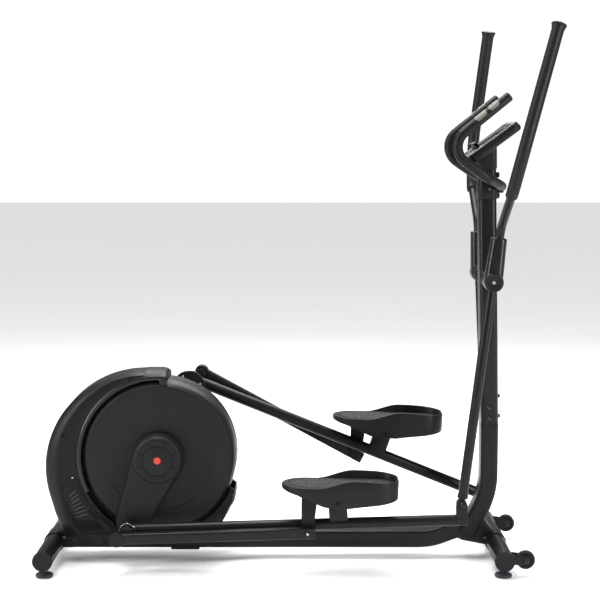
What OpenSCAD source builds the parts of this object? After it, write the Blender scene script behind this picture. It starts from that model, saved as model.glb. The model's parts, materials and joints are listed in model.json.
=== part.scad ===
// Elliptical trainer with a rear drum housing, two linked pedals and two swing arms.
// +X points forward (the way the user faces), +Y to the user's left, +Z up.
// The floor is z = 0 and the origin is under the middle of the machine.
// Side values: -1 is the user's right, +1 the user's left. Points in the side view are [x, z].

/* [Frame] */
// Outside diameter of the stabiliser tubes
stabiliser_d = 60; // [50:1:66]
// Length of the stabilisers without their caps
stabiliser_w = 532; // [480:4:600]
// Height of a stabiliser's axis over the floor
stabiliser_z = 57; // [52:1:60]
// Forward position of the rear stabiliser
rear_x = -778; // [-800:1:-760]
// Forward position of the front stabiliser
front_x = 645; // [630:1:660]
// Width of the main beam
beam_w = 60; // [50:1:64]
// Height of the main beam
beam_h = 56; // [50:1:60]
// Diameter of the transport wheels
wheel_d = 58; // [50:1:60]
// Distance from the middle to each transport wheel
wheel_y = 230; // [200:1:240]

/* [Mast] */
// Depth of the mast tube, front to back
mast_d = 56; // [50:1:60]
// Width of the mast tube
mast_w = 80; // [70:1:84]
// Backward lean of the upper mast in degrees
mast_lean = 1.2; // [0:0.1:2]
// Height of the joint between the lower and the upper mast
mast_joint_z = 443; // [430:1:470]
// Height of the top of the upper mast
mast_top_z = 1306; // [1290:1:1310]

/* [Crank] */
// Radius of the crank pins that drive the pedal bars
crank_throw = 229; // [225:1:240]
// Radius of the small pins that drive the pedal links
eccentric_throw = 256; // [250:1:262]
// Angle by which the small pins trail the crank pins
eccentric_lag = 4.4; // [3:0.1:5]
// Angle of the right crank, counter-clockwise from forward, seen from the right
crank_angle = 246.9; // [240:0.1:250]
// Distance from the crank axle to the centre of the cover's small end
cover_reach = 213; // [205:1:220]

/* [Linkage] */
// Length of a swing arm from its pivot to its lower pin
arm_length = 703.5; // [700:0.5:710]
// Length of a pedal bar from crank pin to front pin
bar_length = 1046.4; // [1040:0.2:1050]
// Length of a pedal link from its rear pin to its front pin
link_length = 591; // [585:1:600]
// Distance along the pedal bar from the crank pin to the pedal pivot
pedal_along = 660; // [640:1:670]
// Height of the pedal pivot over the line between the bar's pins
pedal_up = 52; // [40:1:60]
// Distance of the pedal bars, pedals and swing arms from the middle
track_y = 178; // [176:1:180]

/* [Pedals] */
// Length of a pedal
pedal_length = 364; // [350:1:370]
// Width of a pedal
pedal_width = 180; // [160:1:190]
// Height of the pedal's tread over its pivot
tread_up = 43; // [40:1:46]
// Height of the rim around the toe over the tread
rim_up = 28; // [22:1:34]

/* [Housing] */
// Radius of the drum cover's rim
drum_r = 246; // [240:1:250]
// Radius of the drum cover's flat face
drum_face_r = 229; // [224:1:238]
// Half of the drum's thickness
drum_half = 88; // [86:1:90]
// Radius of the rear casing
casing_r = 309; // [304:1:314]
// Half of the rear casing's thickness
casing_half = 85; // [84:0.5:86]
// Wall of the plastic shells
shell_wall = 3; // [2.5:0.5:3.5]

/* [Drive] */
// Radius of the drive pulley
pulley_r = 150; // [140:1:152]
// Radius of the flywheel's own pulley
small_pulley_r = 18; // [16:1:20]
// Radius of the flywheel
flywheel_r = 120; // [110:1:122]
// Distance from the crank axle to the flywheel axle
flywheel_gap = 190; // [186:1:194]

/* [Handles] */
// Diameter of the foam on the moving handles
grip_d = 38; // [32:1:40]
// Distance of the moving handles' tops from the middle
grip_top_y = 288; // [280:1:300]
// Diameter of the foam on the fixed handlebar
fixed_grip_d = 31; // [30:1:36]
// Half width of the fixed handlebar
fixed_half = 142; // [138:1:156]

/* [Console] */
// Width of the console
console_w = 244; // [230:2:270]
// Depth of the console along its slope
console_l = 192; // [190:1:200]
// Thickness of the console
console_t = 29; // [24:1:30]
// Slope of the console in degrees
console_tilt = 36.4; // [30:0.1:38]

/* [Hidden] */
$fn = 64;

// Clearances: a turning fit, a gap between parts that pass each other.
fit = 0.05;
gap = 1;

// Fixed points of the side view.
hub = [-434, 345];
arm_pivot = [608.5, 912.5];
casing_centre = [-490, 303];
flywheel_centre = hub + flywheel_gap * [cos(200), sin(200)];

// Layers across the machine, as distances from the middle.
plate_in = 44;
plate_out = 49;
crank_in = 97;
crank_out = 133;
boss_out = 150;
bearing_in = 155;
bearing_out = 201;
return_in = 203.5;
return_out = 210;
link_in = 212;
link_out = 244;

// Radii of pins and tubes.
axle_r = 10;
crank_pin_r = 10;
small_pin_r = 8;
front_pin_r = 6;
pedal_pin_r = 7;
link_pin_r = 6;
bar_r = 18;
arm_r = 15.5;
tube_wall = 2.5;
clevis_rise = 50;
gap_r = 258;

// The pedal's rear leg ends at the link pin, given from the pedal pivot with the pedal level.
leg_drop = [-89, -102];
leg_length = norm(leg_drop);

// ---- Plane geometry ----

function unit(v) = v / norm(v);
function heading(v) = atan2(v[1], v[0]);
function polar(r, a) = r * [cos(a), sin(a)];
// The lower crossing of two circles.
function meet(c1, r1, c2, r2) =
    let (d = norm(c2 - c1), a = (r1 * r1 - r2 * r2 + d * d) / (2 * d), h = sqrt(r1 * r1 - a * a))
    let (m = c1 + (c2 - c1) * a / d, n = [c2[1] - c1[1], c1[0] - c2[0]] / d)
    let (p = m + n * h, q = m - n * h)
    p[1] < q[1] ? p : q;

// Pivots of one side at rest: the two crank pins stand opposite each other.
function crank_turn(s) = crank_angle + (s > 0 ? 180 : 0);
function crank_pin(s) = hub + polar(crank_throw, crank_turn(s));
function cover_end(s) = hub + polar(cover_reach, crank_turn(s));
function small_pin(s) = hub + polar(eccentric_throw, crank_turn(s) - eccentric_lag);
function front_pin(s) = meet(arm_pivot, arm_length, crank_pin(s), bar_length);
function bar_angle(s) = heading(front_pin(s) - crank_pin(s));
function arm_lean(s) = 90 - heading(arm_pivot - front_pin(s));
function pedal_pin(s) = crank_pin(s) + polar(pedal_along, bar_angle(s)) + polar(pedal_up, bar_angle(s) + 90);
function link_pin(s) = meet(pedal_pin(s), leg_length, small_pin(s), link_length);
function pedal_angle(s) = heading(link_pin(s) - pedal_pin(s)) - heading(leg_drop);
function link_angle(s) = heading(link_pin(s) - small_pin(s));

// ---- Shared shapes ----

// A side-view outline given a thickness from y0 to y1.
module slab(y0, y1) {
    translate([0, y1, 0]) rotate([90, 0, 0]) linear_extrude(y1 - y0) children();
}
// A round bar across the machine at a side-view point.
module cross_rod(p, r, y0, y1) {
    translate([p[0], y1, p[1]]) rotate([90, 0, 0]) cylinder(r = r, h = y1 - y0);
}
module cross_ring(p, outer, inner, y0, y1) {
    difference() {
        cross_rod(p, outer, y0, y1);
        cross_rod(p, inner, y0 - 1, y1 + 1);
    }
}
// Parts are drawn on the right side and mirrored for the left.
module on_side(s) {
    if (s < 0) children();
    else mirror([0, 1, 0]) children();
}
// Local X runs along a line of the side view that starts at p.
module along(p, angle) {
    translate([p[0], 0, p[1]]) rotate([0, -angle, 0]) children();
}
// A round bar between two points in space.
module bar(a, b, r) {
    d = b - a;
    translate(a) rotate([0, acos(d[2] / norm(d)), atan2(d[1], d[0])]) cylinder(r = r, h = norm(d));
}
module rounded(w, d, r) {
    square([w, d - 2 * r], center = true);
    square([w - 2 * r, d], center = true);
    for (x = [-1, 1], y = [-1, 1]) translate([x * (w / 2 - r), y * (d / 2 - r)]) circle(r);
}
// A flat strip with round ends in the side view.
module strip(p, q, r1, r2) {
    hull() {
        translate(p) circle(r1);
        translate(q) circle(r2);
    }
}
// A pie slice about a point, for keeping part of a ring.
module slice(p, a0, a1, r) {
    steps = 12;
    translate(p) polygon(concat([[0, 0]], [for (i = [0 : steps]) polar(r, a0 + (a1 - a0) * i / steps)]));
}
// A strip of constant width along side-view points.
function normal_at(p, i) =
    let (a = p[max(i - 1, 0)], b = p[min(i + 1, len(p) - 1)], u = unit(b - a)) [-u[1], u[0]];
module band(p, half) {
    n = len(p) - 1;
    polygon(concat([for (i = [0 : n]) p[i] + normal_at(p, i) * half],
                   [for (i = [n : -1 : 0]) p[i] - normal_at(p, i) * half]));
}

// A round corner at b between a and c, as points.
function corner(a, b, c, r, n) =
    let (u = unit(a - b), v = unit(c - b), half = acos(u * v) / 2)
    let (centre = b + unit(u + v) * r / sin(half), start = unit(b + u * r / tan(half) - centre))
    [for (k = [0 : n]) let (t = k / n * (180 - 2 * half)) centre + r * (start * cos(t) - u * sin(t))];
// A path with a round corner at each inner point.
function bent(p, radii, n) =
    [each [p[0]], for (i = [1 : len(p) - 2]) each corner(p[i - 1], p[i], p[i + 1], radii[i - 1], n),
     each [p[len(p) - 1]]];
function direction(p, i) = unit(p[min(i + 1, len(p) - 1)] - p[max(i - 1, 0)]);
// One sideways vector per point, carried along the path without twist.
function carried(p, i, found) =
    i == len(p) ? found :
    let (t = direction(p, i), last = i == 0 ? [0.3, 1, 0.2] : found[i - 1])
    carried(p, i + 1, concat(found, [unit(last - t * (last * t))]));
// A bent round tube as one closed solid.
module swept(p, r, sides = 20) {
    n = carried(p, 0, []);
    rings = [for (i = [0 : len(p) - 1], j = [0 : sides - 1])
        let (t = direction(p, i), a = 360 * j / sides)
        p[i] + r * (n[i] * cos(a) + cross(t, n[i]) * sin(a))];
    last = (len(p) - 1) * sides;
    polyhedron(rings, concat(
        [[for (j = [0 : sides - 1]) j]],
        [[for (j = [sides - 1 : -1 : 0]) last + j]],
        [for (i = [0 : len(p) - 2], j = [0 : sides - 1])
            [i * sides + j, (i + 1) * sides + j, (i + 1) * sides + (j + 1) % sides, i * sides + (j + 1) % sides]]
    ));
}

// ---- Frame ----

beam_low = 36;
beam_mid = beam_low + beam_h / 2;
beam_top = beam_low + beam_h;
foot_thick = 17;
foot_r = 27;
cap_t = 8;
beam_path = [
    [rear_x + 20, beam_mid], [-300, beam_mid], [400, beam_mid],
    [440, beam_mid + 5], [475, beam_mid + 16], [510, beam_mid + 30], [545, beam_mid + 42]
];
mast_path = [
    [553, 86], [572, 120], [591, 158], [606, 193], [616, 228],
    [621, 264], [622.5, 300], [622.5, mast_joint_z]
];

module saddle(x) {
    cross_ring([x, stabiliser_z], stabiliser_d / 2 + 4, stabiliser_d / 2, -46, 46);
}

module base_frame() color([0.07, 0.07, 0.075]) {
    difference() {
        union() {
            slab(-beam_w / 2, beam_w / 2) band(beam_path, beam_h / 2);
            slab(-beam_w / 2 + 2, beam_w / 2 - 2) nose_plate();
            for (x = [rear_x, front_x]) saddle(x);
            slab(-beam_w / 2, beam_w / 2) translate([rear_x + 2, beam_low]) square([60, beam_h]);
        }
        slab(-beam_w / 2 + tube_wall, beam_w / 2 - tube_wall)
            band([for (i = [0 : len(beam_path) - 2]) beam_path[i] + [i == 0 ? 50 : 0, 0]],
                 beam_h / 2 - tube_wall);
        for (x = [rear_x, front_x]) cross_rod([x, stabiliser_z], stabiliser_d / 2, -60, 60);
        slab(-mast_w / 2 - 1, mast_w / 2 + 1) band(mast_path, mast_d / 2);
    }
    drive_bracket();
}
// The solid plate that joins the beam, the mast's foot and the front saddle.
module nose_plate() {
    polygon([[500, 72], [540, 58], [605, 46], [front_x, stabiliser_z - 20], [front_x + 20, stabiliser_z + 10],
             [622, 112], [600, 150], [560, 130], [500, 100]]);
}
// Two upright plates carry the crank, the flywheel and the brake.
module drive_bracket() {
    foot_x = [-660, -370];
    difference() {
        union() {
            for (y = [-plate_out, plate_in]) slab(y, y + plate_out - plate_in) bracket_outline();
            translate([foot_x[0], -plate_out, beam_top]) cube([foot_x[1] - foot_x[0], 2 * plate_out, 5]);
            for (s = [-1, 1]) on_side(s) cross_rod(hub, 26, -plate_out, -34);
            cross_rod(brake_pivot, 4, -plate_in, 6);
            cross_rod(idler_centre, 4, 8, plate_in);
        }
        cross_rod(hub, 17.5, -60, 60);
        cross_rod(flywheel_centre, 8, -60, 60);
    }
}
module bracket_outline() {
    difference() {
        polygon([[-660, beam_top], [-650, 300], [-715, 385], [-700, 402], [-620, 400], [-575, 470], [-500, 470],
                 [-400, 372], [-396, 320], [-370, beam_top]]);
        translate([-500, 210]) circle(60);
    }
}

module rear_stabiliser() color([0.07, 0.07, 0.075]) stabiliser(rear_x);
module front_stabiliser() color([0.07, 0.07, 0.075]) {
    stabiliser(front_x);
    for (s = [-1, 1]) on_side(s) wheel_fork();
}
module stabiliser(x) {
    foot_y = foot_offset();
    difference() {
        cross_ring([x, stabiliser_z], stabiliser_d / 2, stabiliser_d / 2 - tube_wall,
                   -stabiliser_w / 2, stabiliser_w / 2);
        for (y = [-foot_y, foot_y]) translate([x, y, 0]) cylinder(r = 7, h = stabiliser_z);
    }
    // Threaded bosses take the levelling feet.
    for (y = [-foot_y, foot_y])
        translate([x, y, stabiliser_z - stabiliser_d / 2 + 2])
            difference() {
                cylinder(r = 10, h = 24);
                translate([0, 0, -1]) cylinder(r = 4 + fit, h = 26);
            }
}
function foot_offset() = stabiliser_w / 2 - 31;

wheel_x = front_x + 69;
wheel_z = 53;
fork_t = 4;
module wheel_fork() {
    for (y = [-wheel_y - 11 - fork_t, -wheel_y + 11])
        slab(y, y + fork_t) difference() {
            hull() {
                translate([wheel_x, wheel_z]) circle(15);
                translate([front_x + 27, wheel_z + 4]) circle(17);
            }
            translate([front_x, stabiliser_z]) circle(stabiliser_d / 2 - 1);
        }
    cross_rod([wheel_x, wheel_z], 5, -wheel_y - 11, -wheel_y + 11);
    cross_rod([wheel_x, wheel_z], 9, -wheel_y - 19, -wheel_y - 11 - fork_t);
}
module transport_wheel(s) on_side(s) color([0.05, 0.05, 0.055]) {
    difference() {
        translate([wheel_x, -wheel_y, wheel_z]) rotate([90, 0, 0]) rotate_extrude() wheel_half();
        cross_rod([wheel_x, wheel_z], 5 + fit, -wheel_y - 20, -wheel_y + 20);
    }
}
module wheel_half() {
    tread = 20;
    translate([3, -tread / 2]) square([13, tread]);
    translate([3, -3]) square([wheel_d / 2 - 9, 6]);
    translate([wheel_d / 2 - 9, -tread / 2 + 2]) square([9, tread - 4]);
    translate([wheel_d / 2 - 9, -tread / 2]) square([7, tread]);
}
module wheel_right() transport_wheel(-1);
module wheel_left() transport_wheel(1);

module stabiliser_caps() color([0.09, 0.09, 0.095]) {
    for (x = [rear_x, front_x], s = [-1, 1]) on_side(s) {
        cross_rod([x, stabiliser_z], stabiliser_d / 2 + 1.5, -stabiliser_w / 2 - cap_t, -stabiliser_w / 2);
        cross_rod([x, stabiliser_z], stabiliser_d / 2 - tube_wall, -stabiliser_w / 2, -stabiliser_w / 2 + 12);
    }
}
module frame_pad() color([0.05, 0.05, 0.05]) translate([-403, -22, beam_low - 8]) cube([92, 44, 8]);

module frame_bolts() color([0.55, 0.56, 0.58]) {
    // Carriage nuts on the saddles.
    for (e = [[rear_x, 22], [front_x, 158]], y = [-38, 38])
        along([e[0], stabiliser_z], e[1]) translate([stabiliser_d / 2 + 4, y, 0]) rotate([0, 90, 0]) {
            cylinder(r = 7, h = 2);
            cylinder(r = 5.5, h = 8, $fn = 6);
        }
    // Bolts of the mast joint on both sides and in front.
    for (z = [17, 51], s = [-1, 1]) on_side(s)
        cross_rod([upper_x(mast_joint_z + z) - 2, mast_joint_z + z], 9.5, -mast_w / 2 - 6, -mast_w / 2);
    for (z = [20, 85])
        on_mast(mast_joint_z + z) translate([mast_d / 2, 0, 0]) rotate([0, 90, 0]) cylinder(r1 = 8, r2 = 4.5, h = 9);
}

module levelling_foot(x, s) {
    color([0.12, 0.13, 0.15]) translate([x, s * foot_offset(), 0]) {
        rotate_extrude() polygon([[0, 0], [foot_r - 2, 0], [foot_r, 4], [foot_r, 9], [foot_r - 8, foot_thick - 3],
                                  [9, foot_thick], [0, foot_thick]]);
        cylinder(r = 4, h = stabiliser_z - stabiliser_d / 2 + 24);
        translate([0, 0, foot_thick]) cylinder(r = 8, h = 3, $fn = 6);
    }
}
module foot_front_right() levelling_foot(front_x, -1);
module foot_front_left() levelling_foot(front_x, 1);
module foot_rear_right() levelling_foot(rear_x, -1);
module foot_rear_left() levelling_foot(rear_x, 1);

// ---- Mast ----

function upper_x(z) = 622.5 - (z - mast_joint_z) * tan(mast_lean);
// Local axes on the upper mast's centre line at a height: Z up the tube.
module on_mast(z) translate([upper_x(z), 0, z]) rotate([0, -mast_lean, 0]) children();
module mast_lower() color([0.07, 0.07, 0.075]) {
    difference() {
        slab(-mast_w / 2, mast_w / 2) band(mast_path, mast_d / 2);
        slab(-mast_w / 2 + tube_wall, mast_w / 2 - tube_wall)
            band([for (i = [1 : len(mast_path) - 1]) mast_path[i] + [0, i == len(mast_path) - 1 ? 1 : 0]],
                 mast_d / 2 - tube_wall);
    }
}
module mast_upper() color([0.07, 0.07, 0.075]) {
    h = mast_top_z - mast_joint_z;
    difference() {
        on_mast(mast_joint_z) difference() {
            translate([0, 0, -4]) linear_extrude(h + 4) rounded(mast_d, mast_w, 15);
            translate([0, 0, -5]) linear_extrude(h - 6)
                rounded(mast_d - 2 * tube_wall, mast_w - 2 * tube_wall, 12.5);
        }
        cross_rod(arm_pivot, axle_r, -60, 60);
        translate([500, -60, mast_joint_z - 20]) cube([200, 120, 20]);
    }
}
module pivot_axle() color([0.6, 0.61, 0.63]) {
    cross_rod(arm_pivot, axle_r, -track_y - 30, track_y + 30);
    for (s = [-1, 1]) on_side(s) cross_rod(arm_pivot, 22, -48, -mast_w / 2);
}

// ---- Crank and drive ----

module crank_bearings() color([0.7, 0.71, 0.73])
    for (s = [-1, 1]) on_side(s) cross_ring(hub, 17.5, axle_r + fit, -plate_out, -37);
module crank_axle() color([0.6, 0.61, 0.63]) cross_rod(hub, axle_r, -crank_out + 4, crank_out - 4);

module crank_arms() color([0.15, 0.15, 0.16])
    for (s = [-1, 1]) on_side(s) difference() {
        union() {
            slab(-crank_out + 8, -crank_in - 6) strip(hub, crank_pin(s), 32, 24);
            cross_rod(crank_pin(s), 14, -boss_out, -crank_in - 6);
        }
        cross_rod(hub, axle_r, -crank_out, -crank_in);
    }
// The moulded cover wraps the steel arm: a flat plateau with sloping sides.
module crank_covers() color([0.06, 0.06, 0.065])
    for (s = [-1, 1]) on_side(s) difference() {
        hull() {
            slab(-crank_in - 16, -crank_in) strip(hub, cover_end(s), 82, 53);
            slab(-crank_out, -crank_in - 16) strip(hub, cover_end(s), 74, 43);
        }
        slab(-crank_out + 8, -crank_in + 1) strip(hub, crank_pin(s), 32.5, 24.5);
        cross_rod(crank_pin(s), 14.5, -boss_out, -crank_in);
        cross_rod(hub, axle_r + 0.5, -boss_out, -crank_in);
    }
module hub_caps() color([0.08, 0.08, 0.085])
    for (s = [-1, 1]) on_side(s) difference() {
        union() {
            cross_rod(hub, 74, -crank_out - 5, -crank_out);
            cross_rod(hub, 69, -crank_out - 9, -crank_out - 5);
        }
        cross_ring(hub, 47.5, 46, -crank_out - 10, -crank_out - 7);
        for (a = [45 : 45 : 315])
            along(hub, crank_turn(s) + a) translate([54, -crank_out - 10, -1]) cube([16, 3, 2]);
    }

module drive_pulley() color([0.3, 0.31, 0.33]) difference() {
    union() {
        cross_ring(hub, pulley_r, pulley_r - 12, 14, 26);
        cross_rod(hub, pulley_r - 10, 18, 22);
        cross_rod(hub, 24, 8, 32);
    }
    cross_rod(hub, axle_r, 0, 40);
    for (a = [0 : 60 : 300]) cross_rod(hub + polar(85, a), 26, 10, 30);
}
belt_t = 4;
module belt_loop(grow) {
    hull() {
        translate(hub) circle(pulley_r + grow, $fn = 120);
        translate(flywheel_centre) circle(small_pulley_r + grow);
    }
}
module drive_belt() color([0.04, 0.04, 0.04]) slab(15, 25) difference() {
    belt_loop(0.4 + belt_t);
    belt_loop(0.4);
}
// The idler presses on the belt's upper run from outside.
run_angle = asin((pulley_r - small_pulley_r) / flywheel_gap);
run_normal = heading(flywheel_centre - hub) - 90 + run_angle;
idler_r = 15;
idler_centre = hub + polar(pulley_r + belt_t + 1.2 + idler_r, run_normal)
    + polar(flywheel_gap * cos(run_angle) * 0.5, run_normal + 90);
module idler_pulley() color([0.35, 0.35, 0.37]) cross_ring(idler_centre, idler_r, 4 + fit, 13, 27);

module flywheel() color([0.28, 0.28, 0.3]) difference() {
    union() {
        cross_ring(flywheel_centre, flywheel_r, flywheel_r - 22, -27, 3);
        cross_rod(flywheel_centre, flywheel_r - 20, -18, -6);
        cross_rod(flywheel_centre, small_pulley_r, 14, 26);
        cross_rod(flywheel_centre, 15, -36, 36);
    }
    cross_rod(flywheel_centre, 8 + fit, -50, 50);
    for (a = [0 : 60 : 300]) cross_rod(flywheel_centre + polar(60, a), 17, -30, 10);
}
module flywheel_axle() color([0.6, 0.61, 0.63]) {
    cross_rod(flywheel_centre, 8, -plate_out - 8, plate_out + 8);
    for (s = [-1, 1]) on_side(s)
        translate([flywheel_centre[0], -plate_out, flywheel_centre[1]]) rotate([90, 0, 0])
            cylinder(r = 13, h = 7, $fn = 6);
}
brake_pivot = flywheel_centre + polar(flywheel_r + 16, 128);
module brake_shoe() color([0.45, 0.46, 0.48]) difference() {
    union() {
        slab(-27, 3) intersection() {
            difference() {
                translate(flywheel_centre) circle(flywheel_r + 12);
                translate(flywheel_centre) circle(flywheel_r + 3);
            }
            slice(flywheel_centre, 132, 225, 200);
        }
        slab(-27, 3) strip(flywheel_centre + polar(flywheel_r + 8, 134), brake_pivot, 4, 9);
    }
    cross_rod(brake_pivot, 4 + fit, -40, 10);
}
module brake_servo() color([0.1, 0.1, 0.11]) {
    translate([-560, -plate_in, 412]) cube([56, 30, 42]);
    translate([-532, -plate_in + 30, 433]) rotate([-90, 0, 0]) cylinder(r = 9, h = 8);
}

// ---- Housing ----

// The outline of the rear casing with the drum's opening filled in.
module casing_filled() {
    intersection() {
        hull() {
            translate(casing_centre) circle(casing_r, $fn = 160);
            translate([-560, 225]) circle(220, $fn = 120);
        }
        translate([-900, 62]) square([800, 600]);
    }
    // The toe hugs the drum's lower front edge.
    intersection() {
        translate(hub) circle(gap_r + 26, $fn = 120);
        polygon([hub, hub + [262, -96], hub + [218, -200], [-240, 62], [-480, 62]]);
    }
}
module casing_outline() {
    difference() {
        casing_filled();
        translate(hub) circle(gap_r, $fn = 160);
        tip_space();
    }
}
module tip_space() {
    translate([-478, 540]) square([200, 200]);
}
module casing_shell(s) on_side(s) color([0.055, 0.055, 0.06]) difference() {
    union() {
        difference() {
            slab(-casing_half, 0) casing_outline();
            slab(-casing_half + shell_wall, -60) offset(delta = -shell_wall) casing_outline();
            slab(-60.5, 1) offset(delta = -shell_wall) casing_filled();
        }
        // A ledge behind the drum cover's edge closes the gap.
        slab(-69, -66) intersection() {
            difference() {
                translate(hub) circle(gap_r + 1, $fn = 120);
                translate(hub) circle(226, $fn = 120);
            }
            slice(hub, 102, 310, 300);
        }
    }
    slab(-casing_half - 1, -casing_half + 2) offset(delta = 0.6) vent_outline();
    slab(-beam_w / 2 - 0.5, 1) translate([-900, 30]) square([900, beam_top + 1 - 30]);
    for (p = screw_points) cross_rod(p, 3.6, -casing_half - 1, -casing_half + 4);
}
screw_points = [[-522, 595], [-737, 415], [-608, 71]];
module casing_right() casing_shell(-1);
module casing_left() casing_shell(1);

// A foot-shaped insert low on the casing, with a recess and slanting ribs.
module vent_outline() {
    spine = [[[-708, 279, 8], [-697, 262, 10]], [[-723, 242, 20], [-697, 240, 14]], [[-705, 160, 14], [-668, 190, 13]],
             [[-680, 112, 14], [-640, 150, 12]], [[-640, 112, 14], [-600, 111, 14]]];
    for (i = [0 : len(spine) - 2]) hull()
        for (pair = [spine[i], spine[i + 1]], c = pair) translate([c[0], c[1]]) circle(c[2]);
}
module vent_panels() color([0.09, 0.09, 0.095])
    for (s = [-1, 1]) on_side(s) difference() {
        union() {
            slab(-casing_half, -casing_half + 2) vent_outline();
            for (i = [0 : 6])
                along([-718 + 4 * i, 219 - 11 * i], 45 - 5 * i)
                    translate([0, -casing_half - 1.5, -1.5]) cube([25 + 1.3 * i, 2, 3]);
        }
        // A sunk channel runs down the back edge and along the foot of the insert.
        slab(-casing_half - 1, -casing_half + 1)
            polygon([[-734, 209], [-728, 211], [-719, 168], [-698, 141], [-630, 138], [-605, 107], [-681, 107],
                     [-697, 120], [-719, 162], [-731, 194]]);
    }
module casing_screws() color([0.3, 0.3, 0.32])
    for (s = [-1, 1], p = screw_points) on_side(s) cross_rod(p, 3.6, -casing_half + 0.5, -casing_half + 4);

module casing_tip() color([0.04, 0.04, 0.045]) {
    difference() {
        slab(-casing_half - 5, casing_half + 5) tip_outline();
        cross_rod(hub, drum_r + 1, -drum_half - 0.5, drum_half + 0.5);
        slab(-casing_half + 4, casing_half - 4) offset(delta = -4) tip_outline();
    }
}
module tip_outline() difference() {
    hull() {
        translate([-421, 600.5]) circle(16.5);
        translate([-478, 582]) square([1, 32]);
        translate([-445, 600.5]) circle(16.5);
    }
    translate(hub) circle(drum_face_r + 1, $fn = 120);
}

module drum_cover(s) on_side(s) color([0.05, 0.05, 0.055]) translate([hub[0], 0, hub[1]]) rotate([90, 0, 0]) {
    // The face has a shallow round recess about the hub.
    rotate_extrude($fn = 120)
        polygon([[36, drum_half - 4], [drum_face_r - 4, drum_half - 4], [drum_r - 11, 77], [drum_r - 9, 69],
                 [drum_r - 5, 69], [drum_r - 6, 79], [drum_face_r, drum_half], [172, drum_half],
                 [172, drum_half - 1], [36, drum_half - 1]]);
    // The front of the drum closes over a slight crown towards the middle.
    rotate([0, 0, -48]) rotate_extrude(angle = 144, $fn = 120)
        polygon([[drum_r, 0], [drum_r, 45], [drum_r - 2.5, 62], [drum_r - 5.1, 71], [drum_r - 8.5, 71],
                 [drum_r - 5.5, 62], [drum_r - 3, 45], [drum_r - 3, 0]]);
}
module drum_cover_right() drum_cover(-1);
module drum_cover_left() drum_cover(1);

// ---- Moving linkage ----

// Local axes of a swing arm: X forward, Z up the arm, zero at the pivot.
module on_arm(s) {
    translate([arm_pivot[0], 0, arm_pivot[1]]) rotate([0, arm_lean(s), 0]) children();
}
sleeve_top = 137;
// The handle tube fills this share of its foam grip.
handle_share = 0.6;
handle_path = [[0, -track_y - 2, 40], [1, -track_y - 4, 168], [2, -316, 280], [14, -360, 420],
               [72, -grip_top_y, 785]];
handle_steps = 6;
handle_curve = bent(handle_path, [60, 60, 250], handle_steps);
handle_last = len(handle_curve) - 1;
handle_end = handle_curve[handle_last];
// The tube ends inside the grip; its root starts above the pivot.
tube_curve = [handle_path[0] + [0, 0, 29], for (i = [1 : handle_last - 1]) handle_curve[i],
              handle_curve[handle_last - 1] + handle_share * (handle_end - handle_curve[handle_last - 1])];
module swing_arm(s) on_side(s) color([0.08, 0.08, 0.085]) {
    on_arm(s) {
        difference() {
            union() {
                bar([0, -track_y, -arm_length + 24], [0, -track_y, -10], arm_r);
                cross_rod([0, -arm_length], 17, -track_y - 11, -track_y + 11);
                slab(-track_y - 10, -track_y + 10) translate([-11, -arm_length]) square([22, 30]);
                cross_rod([0, 0], 22, -track_y - 28, -62);
                bar(handle_path[0] - [0, 0, 30], handle_path[0] + [0, 0, 30], 14.4);
            }
            cross_rod([0, 0], axle_r + fit, -260, 0);
        }
        // The lower pin runs through both ears of the pedal bar.
        cross_rod([0, -arm_length], front_pin_r, -track_y - 22, -track_y + 22);
        for (y = [-track_y - 26, -track_y + 18 + gap]) cross_rod([0, -arm_length], 9, y, y + 7);
        swept(tube_curve, 13.5);
    }
}
module swing_arm_right() swing_arm(-1);
module swing_arm_left() swing_arm(1);
// A glossy two-part sleeve hides the pivot and the root of the handle.
module arm_sleeve(s) on_side(s) color([0.05, 0.05, 0.055]) on_arm(s) difference() {
    union() {
        cross_rod([0, 0], 29.5, -track_y - 34, -track_y + 30);
        hull() {
            translate([0, -track_y, 0]) linear_extrude(1) rounded(57, 54, 20);
            translate([0, -track_y, sleeve_top - 1]) linear_extrude(1) rounded(48, 43, 17);
        }
        cross_rod([0, 0], 24, -148, -64);
        for (y = [-136 : 14 : -66]) cross_rod([0, 0], 27, y, y + 8);
    }
    cross_rod([0, 0], 22, -track_y - 28, -50);
    translate([0, -track_y - 2, -14]) cylinder(r = 16.8, h = 200);
    bar([0, -track_y, -60], [0, -track_y, 0], arm_r + 0.5);
    cross_rod([0, 0], axle_r + 1, -track_y - 33, 0);
}
module arm_sleeve_right() arm_sleeve(-1);
module arm_sleeve_left() arm_sleeve(1);
module handle_grip(s) on_side(s) color([0.06, 0.06, 0.06]) on_arm(s) {
    run = unit(handle_end - handle_path[3]);
    difference() {
        union() {
            swept([for (i = [handle_steps + 2 : handle_last - 1]) handle_curve[i], handle_end - 11 * run],
                  grip_d / 2);
            bar(handle_end - 12 * run, handle_end + run, grip_d / 2 + 2);
            bar(handle_end, handle_end + 7 * run, grip_d / 2 + 4.5);
        }
        swept(tube_curve, 13.8);
    }
}
module handle_grip_right() handle_grip(-1);
module handle_grip_left() handle_grip(1);

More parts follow.
